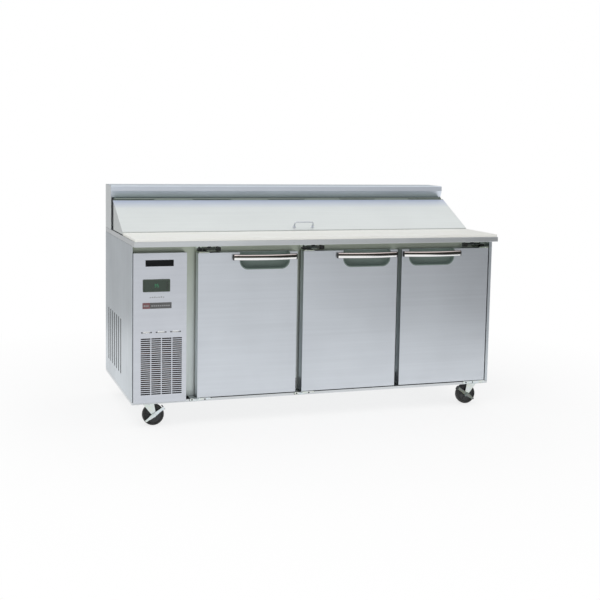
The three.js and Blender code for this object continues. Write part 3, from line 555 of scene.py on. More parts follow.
def make_handle(number, middle):
    """A bowed oval bar on two short posts, with dark caps let into its ends."""
    half = PULL["length"] / 2
    rise = PULL["bow"] - PULL["thickness"] - 1
    radius = (half * half + rise * rise) / (2 * rise)
    sweep_angle = math.degrees(math.asin(half / radius))
    base = -PULL["thickness"] / 2 - 0.6

    def bow(share):
        t = math.radians(sweep_angle * share)
        return (middle + radius * math.sin(t), base - (radius * math.cos(t) - radius + rise),
                PULL["level"])

    oval = ellipse(PULL["thickness"] / 2, PULL["height"] / 2, 28)
    ends, spans = PULL["bright"], 44
    build = Build()
    build.sweep([bow(-ends + 2 * ends * i / spans) for i in range(spans + 1)], oval)
    for side in (-1, 1):
        x, y, z = bow(side * PULL["posts"])
        build.rod("Y", (x, 0, z), 5.5, y, -0.4, 20)
        build.rod("Y", (x, 0, z), 8.5, -2.4, -0.35, 24, 0.6)
    build.finish(f"door_{number}_pull_bar", f"door_{number}", "pull", "chrome",
                 [f"door_{number}_handle"])

    caps = Build()
    for side in (-1, 1):
        stations = [(ends - 0.012, 0.72), (ends, 0.80), (ends + 0.001, 1.04), (0.975, 1.04),
                    (0.992, 0.9), (0.9975, 0.6)]
        rings = []
        for share, grow in stations:
            x, y, z = bow(side * share)
            rings.append([(x, y + b * grow, z + c * grow) for b, c in oval])
        caps.ring_faces(rings)
    caps.finish(f"door_{number}_pull_caps", f"door_{number}", "cap", "cup_plastic")


GASKET = {"width": 12, "depth": 13.3}


def make_gasket(number, box):
    """A bellows gasket ring with its flat magnet strip."""
    x0, x1, y0, y1, z0, z1 = box
    width, depth = GASKET["width"], GASKET["depth"]
    profile = [(0, 0), (width, 0), (width - 1, 2.2), (width - 4.5, 3.6), (width - 1.2, 5.4),
               (width - 0.4, 9), (width - 1, 12.6), (width - 2, depth), (2, depth), (1, 12.6),
               (0.4, 9), (1.2, 5.4), (4.5, 3.6), (1, 2.2)]
    rings = [[(x + dx * u, y0 + v / depth * (y1 - y0), z + dz * u) for u, v in profile]
             for x, dx, z, dz in ((x0, 1, z0, 1), (x1, -1, z0, 1), (x1, -1, z1, -1),
                                  (x0, 1, z1, -1))]
    build = Build()
    build.ring_faces(rings, closed_path=True)
    build.finish(f"door_{number}_bellows", f"door_{number}", "gasket", "gasket_rubber",
                 [f"door_{number}_gasket"])


def make_inner_panel(number, box):
    """The pressed panel on the inside of a door, within its gasket."""
    x0, x1, _, back, z0, z1 = box
    pressing = [(36, -0.4, 22), (37, 1.5, 22), (39, 4.5, 22), (42.5, 6.2, 20), (48, 6.6, 18),
                (92, 6.6, 12), (94, 5.6, 11), (98, 3.4, 9), (101, 2.9, 8)]
    build = Build()
    build.outlines([(inset, back + rise, radius) for inset, rise, radius in pressing],
                   (x0, x1, z0, z1))
    build.finish(f"door_{number}_inner_panel", f"door_{number}", "lining", "lining_steel")


for number, hinge_side in DOORS:
    x0, x1, _, _, _, z1 = local_box(f"door_{number}_skin")
    free_edge = x1 if hinge_side < 0 else x0
    middle = free_edge + hinge_side * (PULL["from_edge"] + PULL["length"] / 2)
    make_cup(number, middle, z1 - 0.6)
    make_handle(number, middle)
    make_gasket(number, local_box(f"door_{number}_gasket"))
    make_inner_panel(number, local_box(f"door_{number}_liner"))


# ---- casters

WHEEL_STEPS, SPOKES = 64, 6
TYRE = [  # radius and Y, round the tread from its left bead
    (36, -11), (38, -13.2), (41, -15.3), (44, -15.9), (46.8, -15), (48.8, -12.6), (49.8, -8),
    (50, 0),
    (49.8, 8), (48.8, 12.6), (46.8, 15), (44, 15.9), (41, 15.3), (38, 13.2), (36, 11),
]
CORE_HALF = [(5.6, 17.3), (10, 17.3), (13, 16.6), (14.5, 14), (16, 9.5), (20, 8), (31, 8.6),
             (34.5, 11.2), (36.2, 11.2)]
SWIVEL_CUP = [(5.5, 99.2), (20, 99.2), (22.5, 100.6), (24, 102), (27, 102.2), (28, 103),
              (27.6, 104.4),
              (26, 105), (20, 105), (5.5, 105)]
RACE = [(18, 105.4), (23.5, 105.4), (25.4, 106.4), (25.6, 108.4), (24.2, 110.2), (22, 111.4),
        (18, 111.9)]
KINGPIN = [(5, 97.4), (9.5, 97.4), (10.2, 98), (10.2, 98.9), (5, 98.9)]


def make_caster(corner, braked):
    x0, x1, _, _, _, _ = local_box(f"caster_{corner}_wheel")
    px0, px1, py0, py1, plate_bottom, _ = local_box(f"caster_{corner}_plate")
    x, axle = (x0 + x1) / 2, (x1 - x0) / 2
    swivel, y = (px0 + px1) / 2, (py0 + py1) / 2
    trail = x - swivel
    wheel_body, fork_body = f"wheel_{corner}", f"swivel_{corner}"

    tyre = Build()
    tyre.lathe("Y", (x, y, axle), TYRE, WHEEL_STEPS, closed=True)
    tyre.finish(f"caster_{corner}_tyre", wheel_body, "tyre", "wheel_rubber",
                [f"caster_{corner}_wheel"])

    core = Build()
    core.lathe("Y", (x, y, axle), [(r, -h) for r, h in CORE_HALF] + CORE_HALF[::-1], WHEEL_STEPS,
               closed=True)
    for i in range(SPOKES):
        t = 2 * math.pi * i / SPOKES
        out = Vector((math.cos(t), 0, math.sin(t)))
        side = Vector((-math.sin(t), 0, math.cos(t)))
        for face in (-1, 1):
            hub = Vector((x, y, axle))
            ring = [hub + out * r + side * w for r,
                    w in ((14, -2.2), (33, -1.4), (33, 1.4), (14, 2.2))]
            core.ring_faces([[tuple(p + Vector((0, face * h, 0))) for p in ring] for h in (7, 11)])
    core.finish(f"caster_{corner}_core", wheel_body, "hub", "wheel_rubber", bevel=0.4)

    fork = Build()
    for side in (-1, 1):
        inner, outer = (18.5, 21.5) if side > 0 else (-21.5, -18.5)
        outline = [(swivel - 26, 104), (swivel + 26, 104),
                   *arc(x, axle, 11, 25 if trail > 0 else 15, -200, 18)]
        fork.prism("Y", outline[::-1], y + inner, y + outer)
        fork.rod("Y", (x, y, axle), 9, y + side * 21.4, y + side * 23, 24, 0.4)
        if side > 0 or not braked:
            fork.prism("Y", hexagon(x, axle, 8.2, 12), y + side * 22.8, y + side * 26.4)
    fork.rod("Y", (x, y, axle), 5, y - 25.5, y + 25.5, 20, 0.8)
    fork.lathe("Z", (swivel, y, 0), SWIVEL_CUP, 48, closed=True)
    fork.finish(f"caster_{corner}_forks", fork_body, "zinc", "zinc_plate",
                [f"caster_{corner}_fork"], bevel=0.7)

    race = Build()
    race.lathe("Z", (swivel, y, 0), RACE, 48, closed=True)
    race.lathe("Z", (swivel, y, 0), KINGPIN, 24, closed=True)
    bolt_x, bolt_y = (px1 - px0) / 2 - 11, (py1 - py0) / 2 - 10
    for sx, sy in QUADRANTS:
        u, v = swivel + sx * bolt_x, y + sy * bolt_y
        race.rod("Z", (u, v, 0), 6.6, plate_bottom + 11.4, plate_bottom + 12.4, 20)
        race.prism("Z", hexagon(u, v, 5.2), 107.6, 111.6)
    race.finish(f"caster_{corner}_race", CABINET, "zinc", "zinc_plate", bevel=0.3)

    if braked:
        make_brake(corner, x, y, axle, 1 if trail > 0 else -1)


def make_brake(corner, x, y, axle, side):
    """The pressed brake lever: a waisted arm, a boss and a pedal over the tyre."""
    angle = math.radians(35 if side > 0 else 145)
    out = (math.cos(angle), math.sin(angle))
    over = (-out[1], out[0])
    front = y - 24.8

    def point(u, v):
        return (x + u * out[0] + v * over[0], axle + u * out[1] + v * over[1])

    outline = [*arc(-42, 0, 5.2, 100, 260, 8), (-30, -5.4), (-16, -8.2),
               *arc(0, 0, 10.2, 235, 305, 6), (16, -8.0), (34, -6.4), (58, -6.8), (58, 6.8),
               (34, 6.4), (16, 8.0), *arc(0, 0, 10.2, 55, 125, 6), (-16, 8.2), (-30, 5.4)]
    lever = Build()
    lever.prism("Y", [point(u, v) for u, v in outline], front, front + 2.6)
    pad = [point(u, v) for u, v in ((53.6, -9.4), (58.6, -9.4), (58.6, 9.4), (53.6, 9.4))]
    pedal = Build()
    pedal.prism("Y", pad, front + 2.8, y + 3.6)
    pedal.finish(f"caster_{corner}_pedal", f"brake_{corner}", "cap", "cup_plastic", bevel=1.2)
    lever.rod("Y", (x, y, axle), 9.4, front - 1.4, front + 0.2, 28, 0.5)
    lever.prism("Y", hexagon(x, axle, 7), front - 3.0, front - 1.2)
    # painted shade: one of the two like zinc levers takes the dark zinc
    look = "zinc" if side > 0 else "dull_zinc"
    lever.finish(f"caster_{corner}_lever", f"brake_{corner}", look, "zinc_plate",
                 [f"caster_{corner}_brake"], bevel=0.5)


for corner in CORNERS:
    make_caster(corner, corner.startswith("f"))

# ---- machine front

BADGE = (61, 189, 744, 773)
STRIP = (48, 180, 553, 580)
STRIP_RED_END = 81
LANCE = {"left": 42, "count": 3, "pitch": 66.5, "width": 48, "level": 442, "height": 3}
DIGITS = ((1, 1, 1, 1, 0, 0, 1), (1, 0, 1, 1, 0, 1, 1))  # the bars that each figure lights
BARS = (  # (right, level, flat) for each, from the top clockwise, then the middle
    (0, 2, 1), (1, 1, 0), (1, 0, 0), (0, 0, 1), (0, 0, 0), (0, 1, 0), (0, 1, 1),
)


def plaque(name, x0, x1, z0, z1, material):
    """A thin plate with a rim round its sunken face."""
    frames = ((0, -0.15), (0, -1.3), (0.5, -1.8), (2.0, -1.8), (2.4, -1.45))
    build = Build()
    build.outlines([(inset, y, 1.5) for inset, y in frames], (x0, x1, z0, z1))
    build.finish(name, CABINET, material, "black_enamel")


def make_controller():
    x0, x1, _, y1, z0, z1 = local_box("controller")
    bezel = Build()
    frames = ((0.6, -0.3), (0, -0.6), (0, -2.2), (0.9, -3.0), (5.0, -3.0), (6.2, -2.2), (6.8, -1.4))
    bezel.outlines([(inset, y, 4.5 - inset * 0.4) for inset, y in frames], (x0, x1, z0, z1),
                   caps=False)
    bezel.box(x0 + 5, x1 - 5, 1.0, y1, z0 + 5, z1 - 5)
    bezel.finish("display_bezel", CABINET, "bezel", "display_plastic", ["controller"])
    window = Build()
    window.prism("Y", rounded(x0 + 6.6, x1 - 6.6, z0 + 6.6, z1 - 6.6, 2.4), -1.5, 0.6)
    window.finish("display_glass", CABINET, "glass", "display_plastic")

    digits = Build()
    cell, bar, gap, front, back = 6.5, 1.3, 0.4, -1.8, -1.5
    left, base = (x0 + x1) / 2 - 9, (z0 + z1) / 2 - cell
    for place, lit_bars in enumerate(DIGITS):
        for lit, (right, level, flat) in zip(lit_bars, BARS):
            if not lit:
                continue
            u, v = left + place * 11.5 + right * cell, base + level * cell
            if flat:
                digits.box(u + gap, u + cell - gap, front, back, v - bar / 2, v + bar / 2)
            else:
                digits.box(u - bar / 2, u + bar / 2, front, back, v + gap, v + cell - gap)
    digits.finish("display_digits", CABINET, "digit", "display_plastic", bevel=0.1)

    buttons = Build()
    for i in range(3):
        buttons.lathe("Y", (x1 - 14, 0, z0 + 16 + i * 12.5),
                      [(3.4, -1.4), (3.3, -2.0), (2.2, -2.3), (0.3, -2.3)], 20)
    buttons.finish("display_buttons", CABINET, "cap", "display_plastic")


def make_lances():
    """Three pressed hoods over the small slots, with a screw at each end."""
    hoods, screws = Build(), Build()
    for i in range(LANCE["count"]):
        x0 = LANCE["left"] + i * LANCE["pitch"]
        x1 = x0 + LANCE["width"]
        base = LANCE["level"] + LANCE["height"]
        stations = [(6.5, 0.05), (8, 0.6), (9.5, 0.95), (12, 1.0)]
        rings = []
        for x, k in [*((x0 + d, k) for d, k in stations),
                     *((x1 - d, k) for d, k in stations[::-1])]:
            outer = [(x, -0.1 - 4.6 * k * math.cos(a), base - 2.5 + 8.0 * k * math.sin(a))
                     for a in (math.radians(t) for t in range(0, 91, 15))]
            rings.append(outer + [(px, py + 0.8 * k, pz - 0.8 * k) for px, py, pz in outer[::-1]])
        hoods.ring_faces(rings)
        for x in (x0 + 3, x1 - 2):
            screws.lathe("Y", (x, 0, base),
                         [(3.0, -0.1), (3.0, -0.9), (2.4, -1.7), (1.2, -2.1), (0.2, -2.15)], 20)
    hoods.finish("lance_hoods", CABINET, "lance", "stainless_steel")
    screws.finish("panel_screws", CABINET, "hub", "zinc_plate")


LOUVRE = {"first": 296, "count": 7, "pitch": 59.7, "width": 18, "bottom": 198, "top": 463,
          "sheet": 1.0}


def make_side_sheet():
    """The folded left side: thin sheet with its front return, and behind each upright slot a flap
    turned in from the slot's rear edge, near-black as painted shade inside the slot."""
    _, _, y0, y1, z0, z1 = local_box("side_panel_left")
    t = LOUVRE["sheet"]
    half = LOUVRE["width"] / 2
    slots = [LOUVRE["first"] + i * LOUVRE["pitch"] for i in range(LOUVRE["count"])]
    sheet = Build()
    rows = ((z0, LOUVRE["bottom"]), (LOUVRE["bottom"], LOUVRE["top"]), (LOUVRE["top"], z1))
    edges = [y0, *(y + side * half for y in slots for side in (-1, 1)), y1]
    columns = list(zip(edges, edges[1:]))
    corner = {}

    def vertex(x, y, z):
        key = (x, round(y, 3), round(z, 3))
        if key not in corner:
            corner[key] = sheet.bm.verts.new(at(x, y, z))
        return corner[key]

    solid = {(i, j) for i in range(len(columns)) for j in range(3) if j != 1 or i % 2 == 0}
    for i, j in solid:
        (a, b), (low, high) = columns[i], rows[j]
        sheet.bm.faces.new([vertex(0, *p) for p in ((a, low), (a, high), (b, high), (b, low))])
        sheet.bm.faces.new([vertex(t, *p) for p in ((a, low), (b, low), (b, high), (a, high))])
        for (di, dj), (p, q) in {(-1, 0): ((a, low), (a, high)), (1, 0): ((b, high), (b, low)),
                                 (0, -1): ((b, low), (a, low)),
                                 (0, 1): ((a, high), (b, high))}.items():
            if (i + di, j + dj) not in solid:
                sheet.bm.faces.new([vertex(0, *q), vertex(0, *p), vertex(t, *p), vertex(t, *q)])
    sheet.box(t, 2.9, y0 + 0.2, y0 + 1.2, z0 + 1, z1 - 1)
    sheet.finish("side_sheet_left", CABINET, "side", "stainless_steel", ["side_panel_left"],
                 smooth=25)
    # the flaps are near-black: painted shade inside the slots
    flaps = Build()
    for end in (y + half for y in slots):
        outline = [(0.2, end - 0.9), (0.2, end - 0.02), (t + 1.5, end - 0.02), (6, end - 2.4),
                   (10, end - 6.4),
                   (9.4, end - 7.2), (5.4, end - 3.4), (t + 1, end - 1)]
        flaps.prism("Z", outline, LOUVRE["bottom"] + 0.1, LOUVRE["top"] - 0.1)
    flaps.finish("side_louvre_flaps", CABINET, "recess", "stainless_steel", smooth=25)


plaque("name_plate", *BADGE, "badge")
plaque("strip_plate_grey", STRIP_RED_END + 0.6, *STRIP[1:], "grey")
plaque("strip_plate_red", STRIP[0], STRIP_RED_END, *STRIP[2:], "red")
marks = Build()
for i in range(7):
    x = 80 + i * 10
    marks.box(x, x + 6.5, -0.22, -0.05, 602, 606 + i % 3)
for left, count, pitch, width, low, high in ((88, 9, 9.6, 6.2, 563, 569),
                                             (53, 3, 8.2, 5.4, 562.5, 570)):
    for i in range(count):
        x = left + i * pitch
        marks.box(x, x + width, -2.0, -1.75, low, high)
marks.finish("status_marks", CABINET, "print", "display_plastic")
make_controller()
make_lances()
make_side_sheet()

# ---- hinge hardware


PLATE = [  # X from the door's hinge edge and Z, along the top from the left and back below
    (-36, 124.4), (-34.6, 128), (-31, 130.2), (-25, 130.6), (-19, 129.8), (-13, 127.2), (-7, 124.9),
    (-1, 124.8), (5, 127), (11, 129.6), (18, 130.5), (54, 130.6), (61, 129.8), (65, 127.8),
    (66, 125.6), (64.5, 124.2), (58, 123.4), (44, 122.8), (24, 121.8), (10, 119.6), (0, 117.8),
    (-14, 117.3), (-28, 117.3), (-33.6, 118.8), (-35.6, 121.4),
]
ADJUSTERS = (  # near and far from the hinge edge, low and high over the arm's foot, front face
    (6, 26, 4, 13, 34), (96, 116, 2, 20, 38), (60, 70, 17, 25, 44), (34, 48, 3.4, 6, 8),
)


def make_hinge_details(number, hinge_side):
    """The waisted lower plate with its tongue, pin and screws, and on the upper
    bracket a spring cartridge, an adjuster and screws."""
    x0, x1, _, _, _, _ = local_box(f"door_{number}_skin")
    px0, px1, front, _, _, _ = local_box(f"lower_hinge_{number}")
    edge, inward = (x0, 1) if hinge_side < 0 else (x1, -1)
    pin = (edge + inward * 12, 8, 0)
    outline = [(edge + u, v) for u, v in PLATE]
    # painted shadow: a dark plate a little larger than the lower hinge plate sits just behind it,
    # for its contact shadow
    painted_shadow_outline = [(edge + (u - 15) * 1.035 + 15, 124 + (v - 124) * 1.2) for u, v in PLATE]
    screw_offsets = (-25, 36)
    if hinge_side > 0:
        outline = rounded(px0, px1, 117.4, 130.6, 5)
        painted_shadow_outline = rounded(px0, px1, 116.2, 131.2, 5)
        screw_offsets = (65, 101)
    painted_shadow_plate = Build()
    painted_shadow_plate.prism("Y", painted_shadow_outline, -0.38, -0.3)
    painted_shadow_plate.finish(f"lower_hinge_{number}_shim", CABINET, "hub", "zinc_plate")
    lower = Build()
    lower.prism("Y", outline, front + 0.1, -0.4)
    tongue = sorted((edge + inward * -2.6, edge + inward * 43))
    lower.prism("Z", rounded(*tongue, -0.6, 23.6, 4), 128.5, 130.6)
    lower.rod("Z", pin, 3.9, 130, 145.6, 20, 0.8)
    lower.lathe("Z", pin, [(5, 130.5), (8.6, 130.5), (8.8, 131.2), (5, 131.7)], 28, closed=True)
    lower.finish(f"lower_hinge_{number}_plate", CABINET, "zinc", "zinc_plate",
                 [f"lower_hinge_{number}"], bevel=0.5)
    screws = Build()
    for offset in screw_offsets:
        screws.lathe("Y", (edge + inward * offset, 0, 124.1), [
            (3.6, -3.1), (3.6, -4.0), (2.8, -4.8), (1.7, -5.0), (1.6, -4.0), (0.2, -3.9)], 24)
    screws.finish(f"lower_hinge_{number}_screws", CABINET, "hub", "zinc_plate")

    top = local_box(f"upper_hinge_{number}")[5]
    base, behind = top - 26, 47
    upper = Build()
    for offset in (18, 62, 104):
        upper.lathe("Y", (edge + inward * offset, 0, top - 9),
                    [(5, 58.9), (5, 58.0), (3.8, 56.6), (1.6, 56.0), (0.2, 55.9)], 24)
    turns, per_turn = 9, 14
    coil = []
    for i in range(turns * per_turn + 1):
        t = 2 * math.pi * i / per_turn
        coil.append((edge + inward * (30 + 62 * i / (turns * per_turn)),
                     behind + 7 * math.cos(t), base + 12 + 7 * math.sin(t)))
    upper.tube(coil, 1.3, 8)
    ends = sorted((edge + inward * 20, edge + inward * 104))
    upper.rod("X", (0, behind, base + 12), 3.2, *ends, 16, 0.5)
    cap = ((9.5, 2.9), (9.5, 4.2), (8.4, 5.4), (3, 6.2), (0.3, 6.2))
    upper.lathe("Z", pin, [(r, base + h) for r, h in cap], 28)
    upper.finish(f"upper_hinge_{number}_spring", CABINET, "dull_zinc", "zinc_plate", bevel=0.2)
    dark = Build()
    for near, far, low, high, face in ADJUSTERS:
        u, v = sorted((edge + inward * near, edge + inward * far))
        dark.prism("Y", rounded(u, v, base + low, base + high, 2), face, 58.4)
    dark.finish(f"upper_hinge_{number}_adjuster", CABINET, "cap", "zinc_plate", bevel=0.6)


def make_catch_plates():
    """A thin dark plate at the foot of each mullion, behind the door gap."""
    plates = Build()
    for left, right in ((1, 2), (2, 3)):
        gap_left, gap_right = local_box(f"door_{left}_skin")[1], local_box(f"door_{right}_skin")[0]
        middle = (gap_left + gap_right) / 2
        plates.prism("Y", rounded(middle - 4, middle + 9, 134, 184, 2), 60.2, 61.9)
    plates.finish("catch_plates", CABINET, "cap", "cup_plastic", bevel=0.5)


for number, hinge_side in DOORS:
    make_hinge_details(number, hinge_side)
make_catch_plates()

# ---- lid handle

LID_SLOPE = math.atan((1009.5 - 876) / (551 - 272))


def make_lid_handle():
    """A round wire bail on two small plates, square to the sloping lid."""
    middle, half, reach, radius = 908, 48, 26, 3.2
    foot = Vector((0, 300, 876 + math.tan(LID_SLOPE) * 28))
    up = Vector((0, -math.sin(LID_SLOPE), math.cos(LID_SLOPE)))

    def point(x, rise):
        return tuple(Vector((middle + x, 0, 0)) + foot + up * rise)

    bend = 10
    path = [point(-half, 0.6), point(-half, reach / 2)]
    path += [point(u, v) for u, v in arc(-half + bend, reach - bend, bend, 180, 90, 8)]
    path += [point(u, v) for u, v in arc(half - bend, reach - bend, bend, 90, 0, 8)]
    path += [point(half, reach / 2), point(half, 0.6)]
    build = Build()
    build.tube(path, radius, 16)
    ahead = Vector((0, math.cos(LID_SLOPE), math.sin(LID_SLOPE)))
    for side in (-half, half):
        build.ring_faces([
            [tuple(Vector(point(side + u, rise)) + ahead * v) for u, v in ellipse(r, r, 24)]
            for r, rise in ((8.5, 0.35), (8.5, 1.6), (7.6, 2.3), (3.4, 2.6))
        ])
    build.finish("lid_bail", "lid", "chrome", "chrome", ["lid_handle"])


make_lid_handle()

# ---- the cold box


def make_pan(number):
    """A deep-drawn pan with a rolled rim, sloping walls and a coved floor."""
    x0, x1, y0, y1, z0, z1 = local_box(f"pan_{number}")
    wall, rim = 1.4, 11

    def ring(inset, z, radius):
        return [(x, y, z) for x, y in rounded(x0 + inset, x1 - inset, y0 + inset, y1 - inset,
                                              radius, 8)]

    inside = [(rim + 1.6, z1 - 0.2, 28), (rim + 3.4, z1 - 2.4, 28), (rim + 4.2, z1 - 8, 28),
              (rim + 7, z0 + 34, 28), (rim + 9.4, z0 + 14, 30), (rim + 13, z0 + 6, 30),
              (rim + 20, z0 + 2.4, 28), (rim + 32, z0 + 1.6, 24)]
    outside = [(inset - wall, z - wall * 0.6, radius + 1) for inset, z, radius in inside[2:-1]]
    build = Build()
    rings = [ring(*p) for p in reversed(inside)]
    rings += [ring(rim * 0.7, z1, 34), ring(1.2, z1 - 0.1, 38), ring(0.2, z1 - 0.7, 39),
              ring(0.2, z1 - 1.5, 39), ring(2, z1 - 1.9, 38), ring(rim - 0.4, z1 - 1.9, 30)]
    rings += [ring(*p) for p in outside]
    rings.append(ring(rim + 31, z0 + 0.1, 24))
    build.ring_faces(rings)
    build.finish(f"pan_{number}_bowl", CABINET, "pan", "pan_steel", [f"pan_{number}"], smooth=50)


def make_shelf(number):
    """A welded wire shelf: two long rods, a middle brace and close cross wires."""
    x0, x1, y0, y1, z0, _ = local_box(f"shelf_{number}")
    rod, wire, pitch, corner = 3.0, 1.7, 19, 14
    top = z0 + rod
    build = Build()
    loop = [(x, y, top) for x, y in rounded(x0 + rod, x1 - rod, y0 + rod, y1 - rod, corner)]
    build.tube(loop, rod, 10, closed=True)
    for y in (y0 + 150, (y0 + y1) / 2, y1 - 150):
        build.rod("X", (0, y, top - 0.4), 2.6, x0 + rod, x1 - rod, 10)
    count = round((x1 - x0) / pitch)
    for i in range(1, count):
        x = x0 + (x1 - x0) * i / count
        build.rod("Y", (x, 0, top + 1.2), wire, y0 + 2.5, y1 - 2.5, 8)
    build.finish(f"shelf_{number}_wires", CABINET, "wire", "wire", [f"shelf_{number}"])


def make_evaporator():
    x0, x1, y0, y1, z0, z1 = local_box("evaporator")
    fins = Build()
    for x in spread(x0 + 14, x1 - 14, 150):
        fins.box(x - 0.5, x + 0.5, y0 + 1, y1 - 1, z0 + 8, z1 - 6)
    fins.finish("evaporator_fins", CABINET, "aluminium", "coil_aluminium", ["evaporator"])
    shell = Build()
    for x in (x0, x1 - 3):
        shell.box(x, x + 3, y0, y1 - 0.4, z0, z1)
    shell.box(x0, x1, y0, y1 - 0.4, z1 - 3, z1)
    shell.prism("X", [(y0, z0), (y1 - 0.4, z0), (y1 - 0.4, z0 + 3), (y0 + 2, z0 + 3),
                      (y0 + 2, z0 + 9), (y0, z0 + 9)], x0, x1)
    shell.finish("evaporator_shell", CABINET, "lining", "lining_steel", bevel=0.5)
    tubes = Build()
    for z in (z0 + 30, z0 + 60, z0 + 88):
        for y in (y0 + 12, y0 + 32):
            tubes.rod("X", (0, y, z), 4.8, x0 + 3, x1 - 3, 12)
    tubes.finish("evaporator_tubes", CABINET, "copper", "condenser_metal")


FAN_X, FAN_Z = 132.5, 290


def make_condenser():
    x0, x1, y0, _, z0, z1 = local_box("condenser")
    x0, x1, z0, z1 = x0 + 4, x1 - 4, z0 + 4, z1 - 4
    y1 = 85
    fins = Build()
    for i, x in enumerate(spread(x0 + 3, x1 - 3, 92)):
        lean = 0.7 * math.sin(i * 1.7) + 0.5 * math.sin(i * 0.61)
        fins.ring_faces([
            [(x - 0.35 + bent, front, z), (x + 0.35 + bent, front, z),
             (x + 0.35, y1 - 2, z), (x - 0.35, y1 - 2, z)]
            for z, bent, front in ((z0 + 2, 0, y0 + 3), ((z0 + z1) / 2, lean, y0 + 2.2),
                                   (z1 - 2, 0, y0 + 3))
        ])
    fins.finish("condenser_fins", CABINET, "fins", "condenser_metal", ["condenser"])

    tubes = Build()
    level = spread(z0 + 14, z1 - 14, 11)
    path = []
    for i, z in enumerate(level):
        ends, side = ((x0 + 6, x1 - 6), 1) if i % 2 == 0 else ((x1 - 6, x0 + 6), -1)
        path += [(x, y0 + 5.5, z) for x in ends]
        if i + 1 < len(level):
            middle_z, radius = (z + level[i + 1]) / 2, (level[i + 1] - z) / 2
            path += [(ends[1] + side * radius * 0.35 * math.sin(a), y0 + 5.5,
                      middle_z - radius * math.cos(a))
                     for a in (math.radians(t) for t in (30, 60, 90, 120, 150))]
    tubes.tube(path, 3.6, 10)
    tubes.finish("condenser_tubes", CABINET, "copper", "condenser_metal")

    cowl = Build()
    for x in (x0 - 3.6, x1 + 0.6):
        cowl.box(x, x + 3, y0, y1 + 25, z0 - 3.6, z1 + 3.6)
    for z in (z0 - 3.6, z1 + 0.6):
        cowl.box(x0 - 3.6, x1 + 3.6, y0, y1 + 25, z, z + 3)
    radius = 90
    outer = rounded(x0 - 3, x1 + 3, z0 - 3, z1 + 3, 3, 11)
    inner = []
    for x, z in outer:
        t = math.atan2(z - FAN_Z, x - FAN_X)
        inner.append((FAN_X + radius * math.cos(t), FAN_Z + radius * math.sin(t)))
    cowl.ring_faces([
        [(x, y1 + back, FAN_Z + (z - FAN_Z) * swell) for x, z in edge]
        for edge, back, swell in ((outer, 2, 1), (inner, 2, 1), (inner, 24, 1),
                                  (inner, 25.4, 1.012),
                                  (inner, 25.4, 1.03), (outer, 3.4, 1))
    ], closed_path=True)
    cowl.lathe("Y", (FAN_X, 0, FAN_Z), [(0.4, 123.9), (22, 123.9), (24, 126), (24, 150), (22, 160),
                                        (16, 164.6), (0.4, 164.9)], 40)
    for side in (-1, 1):
        strut = ((99, y1 + 22), (99, 128), (92, 131), (20, 131))
        cowl.sweep([(FAN_X + side * u, y, FAN_Z) for u, y in strut],
                   [(-1.4, -7), (1.4, -7), (1.4, 7), (-1.4, 7)])
    cowl.finish("condenser_cowl", CABINET, "enamel", "black_enamel", bevel=0.4)


def make_fan():
    """Five cambered blades on a pressed hub."""
    _, _, y0, y1, _, _ = local_box("condenser_fan")
    build = Build()
    build.lathe("Y", (FAN_X, 0, FAN_Z), [
        (0.4, y0 + 0.4), (12, y0 + 0.6), (18, y0 + 3), (20, y0 + 7), (20, y1 - 2.2), (17, y1 - 0.6),
        (0.4, y1 - 0.4)], 40)
    blades, spans, chords = 5, 9, 8
    root, tip, thickness = 17, 81, 1.1
    middle = (y0 + y1) / 2
    for b in range(blades):
        turn = 2 * math.pi * b / blades
        rings = []
        for s in spread(0, 1, spans + 1):
            radius = root + (tip - root) * s
            half = math.radians(21 + 9 * math.sin(math.pi * min(1, s * 0.85)))
            sweep_back = 0.28 * s * s
            section = []
            for c in spread(-1, 1, chords + 1):
                t = turn + c * half * (1 - 0.25 * s ** 6) + sweep_back
                y = middle + c * (9.2 - 2.5 * s) + 2.0 * (1 - c * c)
                section.append((FAN_X + radius * math.cos(t), y, FAN_Z + radius * math.sin(t)))
            rings.append([(x, y + thickness / 2, z) for x, y, z in section]
                         + [(x, y - thickness / 2, z) for x, y, z in section[::-1]])
        build.ring_faces(rings)
    build.finish("fan_blades", "fan", "enamel", "black_enamel", ["condenser_fan"], smooth=50)


def make_compressor():
    x0, x1, y0, y1, z0, _ = local_box("compressor")
    cx, cy, radius = 128, 440, 76
    can = Build()
    can.lathe("Z", (cx, cy, 0), [
        (0.5, 128.2), (40, 128.4), (58, 131), (68, 138), (73.5, 150), (75.4, 168), (75.6, 213),
        (76, 215.4), (79.4, 216), (79.8, 217.5), (79.4, 219), (76, 219.6), (75.6, 223), (75.2, 256),
        (73, 268), (67, 280), (56, 291), (40, 300), (22, 304.5), (0.5, 306)], 72)
    can.finish("compressor_can", CABINET, "enamel", "black_enamel", ["compressor"], smooth=60)
    base = Build()
    base.prism("Z", rounded(x0, x1, y0 + 16, y1 - 16, 12), z0 + 8, z0 + 11)
    foot = ((6, 0.3), (9, 0.3), (9.6, 2), (7, 5), (9.4, 8), (9.4, 12), (5, 13))
    for sx, sy in QUADRANTS:
        base.lathe("Z", (cx + sx * 82, cy + sy * 48, 0), [(r, z0 + h) for r, h in foot], 24)
    base.box(cx - 24, cx + 24, cy - radius - 12, cy - radius + 12, 205, 262)
    base.finish("compressor_mounts", CABINET, "cap", "black_enamel", bevel=0.8)
    pipes = Build()
    for bends, thick in (
        (((74, 0, 200), (92, 0, 204), (98, -30, 260), (96, -120, 350), (90, -240, 400),
          (88, -310, 410), (82, -332, 402)), 4.0),
        (((60, 46, 230), (78, 66, 250), (96, 90, 380), (96, 90, 560), (94, 88, 684)), 5.0),
    ):
        pipes.tube(curve([(cx + u, cy + v, z) for u, v, z in bends], 8), thick, 12)
    pipes.finish("compressor_pipes", CABINET, "copper", "condenser_metal")


